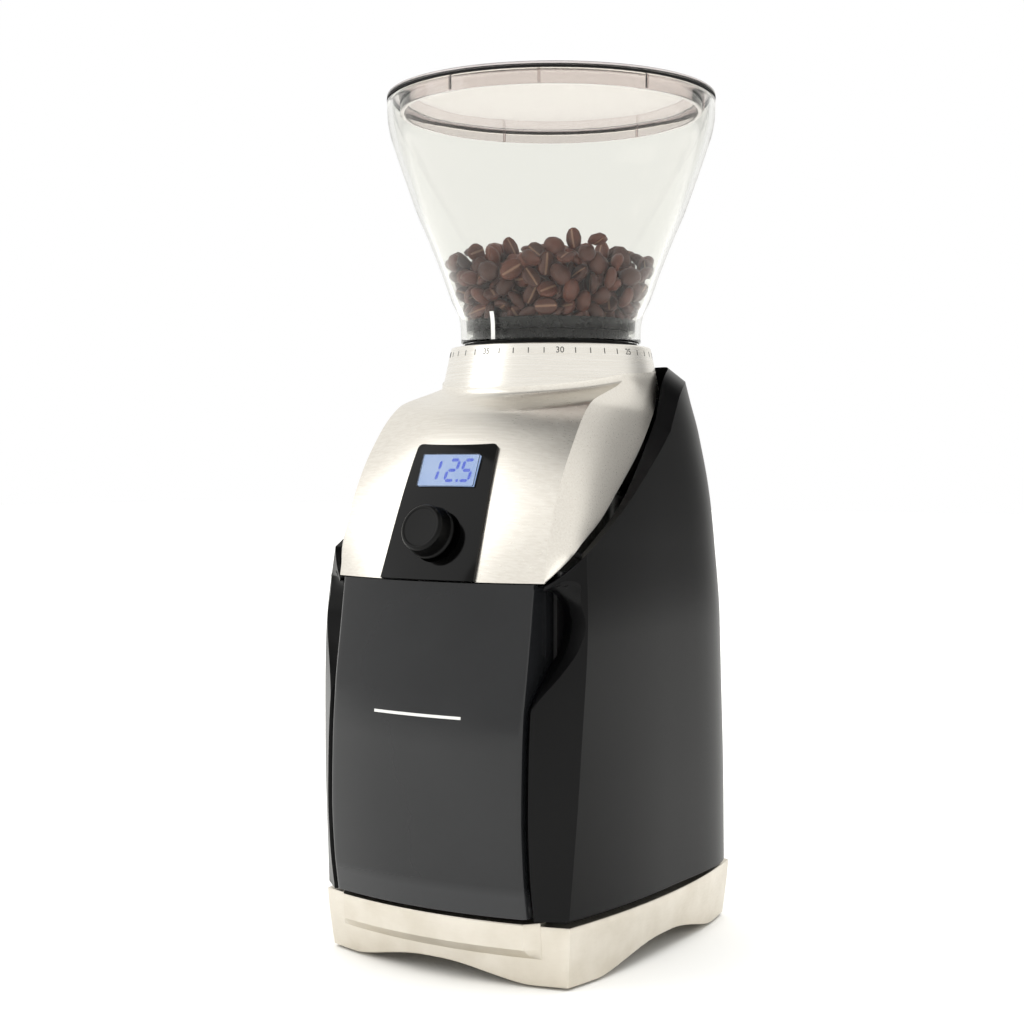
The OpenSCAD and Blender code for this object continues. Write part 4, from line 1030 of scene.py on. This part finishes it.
def bin_grid(inset):
    """The plate and its side returns, moved inwards by an inset."""
    z = np.linspace(bin_low[2], bin_high[2], 60)[:, None]
    half = BIN_HALF - inset
    x_flat = np.linspace(0, half - BIN_CORNER, 22)[None, :]
    face_y = bin_front_y(x_flat, z) + inset
    t = np.linspace(0, 1, 8)[1:][None, :]
    corner_x = (half - BIN_CORNER) * (1 - t) ** 2 + half * (1 - (1 - t) ** 2)
    start_y = bin_front_y(half - BIN_CORNER, z) + inset
    edge = bin_front_y(half, z) + inset
    corner_y = start_y * (1 - t) ** 2 + edge * 2 * t * (1 - t) + (edge + BIN_CORNER) * t**2
    back = np.linspace(0, 1, 5)[1:][None, :]
    side_y = mix(edge + BIN_CORNER, TUB_FRONT, back)
    x = np.concatenate([x_flat, corner_x, np.full((1, 4), half)], axis=1)
    y = np.concatenate([face_y, corner_y, side_y], axis=1)
    right = stack(x, y, z)
    return np.concatenate([right[:, :0:-1] * (-1, 1, 1), right], axis=1)


piece(
    "bin_front_plate", wall(bin_grid(0), bin_grid(BIN_PLATE)), smoke_bin, "bin_body",
    replaces=["bin_front"], bevel=0.4, sharp=40, segments=3,
)

# %% [markdown]
# A printed white line marks the full level. It samples the plate's own formula a hair in front
# of it, so that it bows with the plate.

# %% Level line
LINE_HALF = 20.4
LINE_Z = 102.0
line_x = np.linspace(-LINE_HALF, LINE_HALF, 30)[None, :]
line_z = np.array([LINE_Z - 0.55, LINE_Z + 0.55])[:, None]
line_outer = stack(line_x, bin_front_y(line_x, line_z) - 0.06, line_z)
piece(
    "bin_level_line", wall(line_outer, line_outer + (0, 0.1, 0)), print_white, "bin_body",
    sharp=40,
)

# %% [markdown]
# ## The cast base
# The base leans inwards to its feet, and low arches between the feet lift its edge. One grid
# does it: rings that go from the middle of the deck out over the top edge, down the outer
# wall to the arch line, and back up the inside.

# %% Base outline
FRONT_HALF, REAR_HALF = 58, 56
FRONT_BOW, SIDE_BOW, REAR_BOW = 9, 6.5, 8
BASE_REAR = BODY_REAR - REAR_BOW
BASE_WALL = 3.2
BASE_LEAN = 1.9
FOOT_Z = base_low[2]
ARCH_TOPS = np.array([6.6, 8.4, 7.0, 8.4])
CORNERS = np.array([
    [-FRONT_HALF, -BODY_FRONT], [FRONT_HALF, -BODY_FRONT],
    [REAR_HALF, BASE_REAR], [-REAR_HALF, BASE_REAR],
])
BOWS = np.array([FRONT_BOW, SIDE_BOW, REAR_BOW, SIDE_BOW])
SIDE_POINTS = 56


def base_ring(inset):
    """The plan's outline, pulled in by an inset, and how far round each side a point is."""
    shrink = np.sign(CORNERS) * inset
    start = CORNERS - shrink
    end = np.roll(start, -1, axis=0)
    along = end - start
    out = np.stack([along[:, 1], -along[:, 0]], axis=-1) / np.linalg.norm(along, axis=1, keepdims=True)
    t = np.linspace(0, 1, SIDE_POINTS, endpoint=False)
    t = t - 0.06 * np.sin(2 * np.pi * t)
    bow = (4 * t * (1 - t))[None, :, None] * (BOWS[:, None] * out)[:, None]
    points = mix(start[:, None], end[:, None], t[None, :, None]) + bow
    return points.reshape(-1, 2), np.tile(t, 4)


def arch(t):
    """Height of the base's lower edge: flat feet at the ends and one smooth arch between."""
    near_end = np.minimum(t, 1 - t)
    top = np.repeat(ARCH_TOPS, SIDE_POINTS)
    return FOOT_Z + (top - FOOT_Z) * ease(near_end, 0.13, 0.47) ** 0.75


def base_shape():
    """Rings from the deck's middle over the edge and up the inside, and a fan at each end."""
    rings = []
    middle = CORNERS.mean(axis=0)
    outline_0, t = base_ring(0)
    lower = arch(t)
    deck, under = BASE_TOP, BASE_TOP - 4
    for spread in (0.02, 0.5, 0.97):
        rings.append(stack(*(mix(middle, outline_0, spread).T), deck))
    for inset, z in ((0.5, deck), (0.12, deck - 0.12), (0, deck - 0.5)):
        ring, _ = base_ring(inset)
        rings.append(stack(*ring.T, z))
    for fall in np.linspace(0.1, 1, 12):
        ring, _ = base_ring(BASE_LEAN * fall**1.3)
        rings.append(stack(*ring.T, mix(deck - 0.5, lower + 0.3, fall)))
    for inset, lift in ((0.35, 0), (BASE_WALL - 0.3, 0), (BASE_WALL, 0.3)):
        ring, _ = base_ring(BASE_LEAN + inset)
        rings.append(stack(*ring.T, lower + lift))
    for rise in (0.5, 1):
        ring, _ = base_ring(mix(BASE_LEAN, 0, rise) + BASE_WALL)
        rings.append(stack(*ring.T, mix(lower + 0.3, under, rise)))
    for spread in (0.5, 0.02):
        rings.append(stack(*(mix(middle, outline_0, spread).T), under))
    points = np.stack(rings[::-1])
    faces = quads(len(rings), points.shape[1], wrap_cols=True)
    count = points.shape[1]
    ids = np.arange(count)
    hub = len(rings) * count
    low_fan = np.stack([0 * ids + hub, 0 * ids + hub, (ids + 1) % count, ids], axis=-1)
    last = (len(rings) - 1) * count
    top = 0 * ids + hub + 1
    high_fan = np.stack([top, top, last + ids, last + (ids + 1) % count], axis=-1)
    hubs = np.array([points[0].mean(axis=0), points[-1].mean(axis=0)])
    return np.vstack([points.reshape(-1, 3), hubs]), np.vstack([faces, low_fan, high_fan])


# %% [markdown]
# The plaque on the front is blank. Its lower edge and its ends are mitred: the face stands
# proud, and falls back to the base over a bevel of constant width.

# %% Base and plaque
PLAQUE_HALF = 47
PLAQUE_LOW = 11.6
PLAQUE_TOP = base_high[2]
PLAQUE_BEVEL = 4.2
PLAQUE_Y = -BODY_FRONT - 8
PLAQUE_BOW = 6
PLAQUE_PROUD = 4.6


def plaque_shape():
    """The plaque's face, proud by one depth inside its bevel, as a closed wall."""
    bevel_in = np.array([0, 0.08, 0.92, 1]) * PLAQUE_BEVEL
    face_half = PLAQUE_HALF - PLAQUE_BEVEL
    right = np.concatenate([np.linspace(0, face_half, 24), face_half + bevel_in[1:]])
    x = np.concatenate([-right[:0:-1], right])[None, :]
    above = np.linspace(PLAQUE_LOW + PLAQUE_BEVEL, PLAQUE_TOP - 0.5, 8)[1:]
    rim = [PLAQUE_TOP - 0.15, PLAQUE_TOP]
    z = np.concatenate([PLAQUE_LOW + bevel_in, above, rim])[:, None]
    inside = np.minimum(PLAQUE_HALF - np.abs(x), z - PLAQUE_LOW) / PLAQUE_BEVEL
    proud = PLAQUE_PROUD * np.clip(inside, 0, 1)
    crown = 0.35 * ease(z, PLAQUE_TOP - 0.6, PLAQUE_TOP)
    face = PLAQUE_Y + PLAQUE_PROUD - PLAQUE_BOW * (1 - (x / PLAQUE_HALF) ** 2)
    lean = 1.1 * (1 - np.clip((z - PLAQUE_LOW) / (PLAQUE_TOP - PLAQUE_LOW), 0, 1))
    outer = stack(x, face - proud + crown + lean, z)
    inner = stack(x, face + 4.4 + 0 * z, z)
    return wall(outer, inner)


piece(
    "base_body", joined(base_shape(), plaque_shape()), cast_zinc, "root",
    replaces=["base_casting"], bevel=0.45, sharp=32, segments=3,
)

# %% [markdown]
# ## The hopper and its lid
# The hopper is a bell turned round the burr axis: a short straight skirt, a long flare and an
# upright rim. It keeps its real wall, so light bends twice on the way in and twice on the way
# out, which gives the pale bands at its edges. The lid's plug hangs inside the rim.

# %% Hopper
HOPPER_WALL = 2.2
NECK_R = 38


def hopper_r(z):
    """Outer radius of the hopper at a height."""
    knots = (
        (0, 0), (0.06, 0.005), (0.11, 0.03), (0.18, 0.13), (0.31, 0.285), (0.43, 0.44),
        (0.55, 0.605), (0.67, 0.745), (0.8, 0.89), (0.87, 0.96), (0.93, 0.992), (1, 1),
    )
    return NECK_R + (RIM_R - NECK_R) * curve((z - HOPPER_Z) / HOPPER_H, *knots)


climb = np.linspace(0, 1, 64)
wall_z = HOPPER_Z + 0.5 + (HOPPER_H - 1) * climb
outer_line = np.column_stack([hopper_r(wall_z), wall_z])
inner_line = np.column_stack([hopper_r(wall_z) - HOPPER_WALL, wall_z])[::-1]
top_edge = [(RIM_R - 0.5, RIM_Z), (RIM_R - HOPPER_WALL + 0.5, RIM_Z)]
low_edge = [(NECK_R - HOPPER_WALL + 0.5, HOPPER_Z), (NECK_R - 0.5, HOPPER_Z)]
hopper_outline = np.vstack([outer_line, top_edge, inner_line, low_edge])
piece(
    "hopper_bell", turned(hopper_outline, 192), clear_hopper, "hopper_body",
    replaces=["hopper"], sharp=50,
)

# %% [markdown]
# The lid is a flat disc with a plug that drops inside the rim. Like the hopper it is turned, and
# its outline starts and ends on the axis.

# %% Lid
lid_low, lid_high = box_mm("hopper_lid")
LID_LOW, LID_TOP = lid_low[2], lid_high[2]
PLUG_R = RIM_R - HOPPER_WALL - 3.2
PLATE_LOW = RIM_Z + 1
lid_outline = rounded(
    (0, PLATE_LOW, 0), (PLUG_R - 2, PLATE_LOW, 0.5), (PLUG_R - 2, LID_LOW, 0.4), (PLUG_R, LID_LOW, 0.4),
    (PLUG_R, PLATE_LOW, 0.3), (RIM_R, PLATE_LOW, 0.2), (RIM_R, LID_TOP, 0.6), (0, LID_TOP, 0),
    closed=False,
)
piece(
    "lid_cap", turned(lid_outline, 192, closed=False), smoke_lid, "lid_body",
    replaces=["hopper_lid"], sharp=40,
)

# %% [markdown]
# The plug's skirt is moulded with a few upright ribs, which show as short dark lines.

# %% Lid ribs
def lid_rib(angle):
    """One rib on the outside of the plug, as a slim closed block with a rounded nose."""
    across = np.array([-0.6, -0.35, 0, 0.35, 0.6])[None, :]
    nose = 0.8 * np.sqrt(1 - (across / 0.62) ** 2)
    z = np.array([LID_LOW + 0.4, PLATE_LOW - 0.02])[:, None]
    c, s = math.cos(angle), math.sin(angle)
    out, base_r = PLUG_R + nose + 0 * z, PLUG_R - 0.2 + 0 * nose + 0 * z
    outer = stack(out * c - across * s, out * s + across * c, z)
    inner = stack(base_r * c - across * s, base_r * s + across * c, z)
    return wall(outer, inner)


RIB_ANGLES = -150, -96, -62, -22, 24, 84, 142
ribs = joined(*(lid_rib(math.radians(a)) for a in RIB_ANGLES))
piece("lid_plug_ribs", ribs, smoke_lid, "lid_body", sharp=40)

# %% [markdown]
# A printed white pointer on the hopper's skirt reads the scale. It is wrapped on the same curve
# as the skirt, and it rides the hopper.

# %% Pointer on the hopper's skirt
POINTER_ANGLE = math.radians(-90 - 6)
POINTER_HALF = 1.05
pointer_z = np.linspace(HOPPER_Z + 0.3, HOPPER_Z + 11.6, 20)[:, None]
pointer_angle = POINTER_ANGLE + np.linspace(-1, 1, 7)[None, :] * POINTER_HALF / NECK_R
pointer_r = hopper_r(pointer_z) + 0.05
pointer_outer, pointer_inner = (
    stack(r * np.cos(pointer_angle), r * np.sin(pointer_angle), pointer_z)
    for r in (pointer_r, pointer_r - 0.04)
)
piece(
    "hopper_pointer", wall(pointer_outer, pointer_inner), print_white, "hopper_body",
    sharp=60,
)

# %% [markdown]
# ## The grind scale
# The collar carries a scale of forty steps with a numeral at every fifth. The marks are thin
# shapes wrapped round the collar's cone: a flat point (across, up) becomes an angle and a height.
# At rest the pointer stands at 35.

# %% Scale
STEP_ANGLE = math.radians(8.5)
SCALE_ZERO = math.radians(-90 - 5.4) + 35 * STEP_ANGLE
SCALE_Z = COLLAR_TOP - 3.1
cone_slope = (COLLAR_TOP_R - COLLAR_FOOT_R + 0.1) / (COLLAR_H - 0.5)


def on_collar(points, angle, lift):
    """Flat points (across, up) wrapped on the collar round an angle, lifted off its surface."""
    z = SCALE_Z + points[:, 1]
    radius = COLLAR_TOP_R + cone_slope * (z - COLLAR_TOP) + lift
    turn = angle + points[:, 0] / COLLAR_TOP_R
    return stack(radius * np.cos(turn), radius * np.sin(turn), z)


def tick(angle):
    flat = np.array([(x, y) for y in (-1.1, 1.1) for x in (-0.18, 0.18)])
    outer, inner = (on_collar(flat, angle, lift).reshape(2, 2, 3) for lift in (0.05, -0.05))
    return wall(outer, inner)


def numeral(text, angle):
    """A numeral as a solid thin mesh, wrapped on the collar."""
    letters = bpy.data.curves.new("numeral", "FONT")
    letters.body = text
    letters.size = 3.5
    letters.align_x, letters.align_y = "CENTER", "CENTER"
    letters.extrude = 0.05
    letters.resolution_u = 4
    holder = bpy.data.objects.new("numeral", letters)
    mesh = bpy.data.meshes.new_from_object(holder)
    points = np.empty(len(mesh.vertices) * 3)
    mesh.vertices.foreach_get("co", points)
    points = points.reshape(-1, 3)
    mesh.calc_loop_triangles()
    faces = np.empty(len(mesh.loop_triangles) * 3, int)
    mesh.loop_triangles.foreach_get("vertices", faces)
    bpy.data.objects.remove(holder)
    return on_collar(points[:, :2], angle, points[:, 2]), faces.reshape(-1, 3)[:, [0, 1, 2, 2]]


marks = [tick(SCALE_ZERO - step * STEP_ANGLE) for step in range(41) if step % 5]
numerals = [numeral(str(step), SCALE_ZERO - step * STEP_ANGLE) for step in range(0, 41, 5)]
piece("collar_scale", joined(*marks), print_grey, "root", sharp=60)
piece("collar_numerals", joined(*numerals), print_grey, "root", sharp=60)

# %% [markdown]
# ## The coffee beans
# The beans are packed by pushing: each starts as a ball at random in the bell, and in each round
# every pair that overlaps moves apart and every ball is pushed back inside the wall. At the end
# any ball above a gentle mound is lowered to it. Nothing is dropped or settled, so neighbours
# still overlap a little.

# %% Pack the beans
random = np.random.default_rng(7)
BEAN_R = 4.15
FILL_LOW, FILL_TOP, MOUND = HOPPER_Z + 6.5, HOPPER_Z + 37, 6.0
THROAT_R = 29.0
FLANGE_Z = HOPPER_Z + 9.5


def bean_wall(z):
    """The largest radius that a bean's middle may have at a height."""
    inside = hopper_r(z) - HOPPER_WALL - BEAN_R * 0.8
    throat = mix(THROAT_R - BEAN_R, inside, ease(z, FLANGE_Z - 4, FLANGE_Z + 4))
    return np.where(z < FLANGE_Z + 2, np.minimum(inside, throat), inside)


BEANS = 500
spots = random.uniform((-42, -42, FILL_LOW), (42, 42, FILL_TOP + 26), (BEANS, 3))
for _ in range(260):
    gap = spots[:, None] - spots[None]
    far = np.linalg.norm(gap, axis=-1) + 1e-9
    push = np.clip(2 * BEAN_R - far, 0, None) * (far > 1e-6)
    spots += 0.28 * (gap / far[..., None] * push[..., None]).sum(axis=1)
    spots[:, 2] -= 0.12
    spread = np.hypot(spots[:, 0], spots[:, 1]) + 1e-9
    limit = bean_wall(spots[:, 2])
    spots[:, :2] *= np.minimum(1, limit / spread)[:, None]
    spots[:, 2] = np.maximum(spots[:, 2], FILL_LOW)
roof = FILL_TOP + MOUND * (1 - (np.hypot(spots[:, 0], spots[:, 1]) / 42) ** 2)
over = int((spots[:, 2] > roof + 3).sum())
spots[:, 2] = np.minimum(spots[:, 2], roof + 3)
print("beans", BEANS, "top at", round(spots[:, 2].max() - HOPPER_Z, 1), "mm above the skirt;",
      over, "levelled to the mound")

# %% [markdown]
# A bean is a flattened ellipsoid with a groove along its flat side, turned at random. There are
# hundreds, so each has only 48 faces, and the paler seam is a value on its points. That makes the
# seam as wide as the faces beside it.

# %% Bean shape
BEAN_SIZE = np.array([5.1, 4.1, 3.3])
rows, cols = 7, 8
polar = np.linspace(0, np.pi, rows)[:, None]
around = np.linspace(0, 2 * np.pi, cols, endpoint=False)[None, :]
along_x = -np.cos(polar) * np.ones_like(around)
round_y = np.sin(polar) * np.cos(around)
round_z = np.sin(polar) * np.sin(around)
flat_side = np.where(round_z < 0, 0.55, 1.0)
groove = 0.42 * np.exp(-((round_y / 0.2) ** 2)) * (round_z < 0) * np.sin(polar)
bean_points = stack(along_x, round_y, round_z * flat_side + groove).reshape(-1, 3) * BEAN_SIZE
bean_faces = quads(rows, cols, wrap_cols=True)
seam_line = np.exp(-((round_y / 0.35) ** 2)) * (round_z < -0.3)
seam_values = np.concatenate([[0], seam_line[1:-1].ravel(), [0]])

quaternion = random.normal(size=(BEANS, 4))
quaternion /= np.linalg.norm(quaternion, axis=1, keepdims=True)
w, x, y, z = quaternion.T
turns = np.stack([
    1 - 2 * (y * y + z * z), 2 * (x * y - z * w), 2 * (x * z + y * w),
    2 * (x * y + z * w), 1 - 2 * (x * x + z * z), 2 * (y * z - x * w),
    2 * (x * z - y * w), 2 * (y * z + x * w), 1 - 2 * (x * x + y * y),
], axis=-1).reshape(-1, 3, 3)
sizes = random.uniform(0.88, 1.06, (BEANS, 1, 1))
all_points = np.einsum("bij,pj->bpi", turns, bean_points) * sizes + spots[:, None]
reach = np.hypot(all_points[..., 0], all_points[..., 1])
room = hopper_r(all_points[..., 2]) - HOPPER_WALL - 0.4
inwards = np.clip(reach - room, 0, None).max(axis=1) / np.maximum(np.hypot(spots[:, 0], spots[:, 1]), 1)
all_points[..., :2] -= (spots[:, :2] * inwards[:, None])[:, None]
all_faces = (bean_faces[None] + np.arange(BEANS)[:, None, None] * len(bean_points)).reshape(-1, 4)

# %% [markdown]
# A medium roast is a dull red brown. Each bean gets a tone of its own between a dark and a light
# one, fine freckles, and its paler seam.

# %% Bean finish
roast = finish("roasted coffee bean", "#4a241a", 0.45)
tree = roast.node_tree
tone = add(tree, "Attribute", attribute_name="tone").outputs["Fac"]
bean_place = add(tree, "TexCoord").outputs["Object"]
spot = add(tree, "TexNoise", {"Vector": bean_place, "Scale": 420.0, "Detail": 3.0})
dark_bean = add(tree, "MixRGB", {0: tone, 1: colour("#3a1a12"), 2: colour("#8a4a35")})
freckle = add(tree, "MixRGB", {0: spot.outputs[0], 1: dark_bean.outputs[0], 2: colour("#4f281c")})
seam = add(tree, "Attribute", attribute_name="seam").outputs["Fac"]
seam_share = add(tree, "MapRange", {0: seam, 1: 0.72, 2: 0.95, 3: 0.0, 4: 0.75})
with_seam = add(tree, "MixRGB", {0: seam_share.outputs[0], 1: freckle.outputs[0], 2: colour("#b08a70")})
tree.links.new(with_seam.outputs[0], tree.nodes["Principled BSDF"].inputs["Base Color"])
bean_bump = add(tree, "Bump", {"Height": spot.outputs[0], "Distance": 0.03 * MM, "Strength": 1.0})
tree.links.new(bean_bump.outputs[0], tree.nodes["Principled BSDF"].inputs["Normal"])

beans = piece("coffee_beans", (all_points.reshape(-1, 3), all_faces), roast, "hopper_body", sharp=75)
bean_tone = beans.data.attributes.new("tone", "FLOAT", "POINT")
own_tone = random.uniform(0, 1, BEANS) ** 1.4
per_bean = len(beans.data.vertices) // BEANS
bean_tone.data.foreach_set("value", np.repeat(own_tone, per_bean).astype(np.float32))
bean_seam = beans.data.attributes.new("seam", "FLOAT", "POINT")
bean_seam.data.foreach_set("value", np.tile(seam_values, BEANS).astype(np.float32))
print("points in a bean", per_bean, "and values for its seam", len(seam_values))

# %% [markdown]
# The last cell puts the box of the frame and the box of what now stands into one table, so that
# the two can be compared.

# %% Record the two boxes
visual_low, visual_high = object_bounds()
sizes = {"cad": [list(cad_low), list(cad_high)], "visual": [list(visual_low), list(visual_high)]}
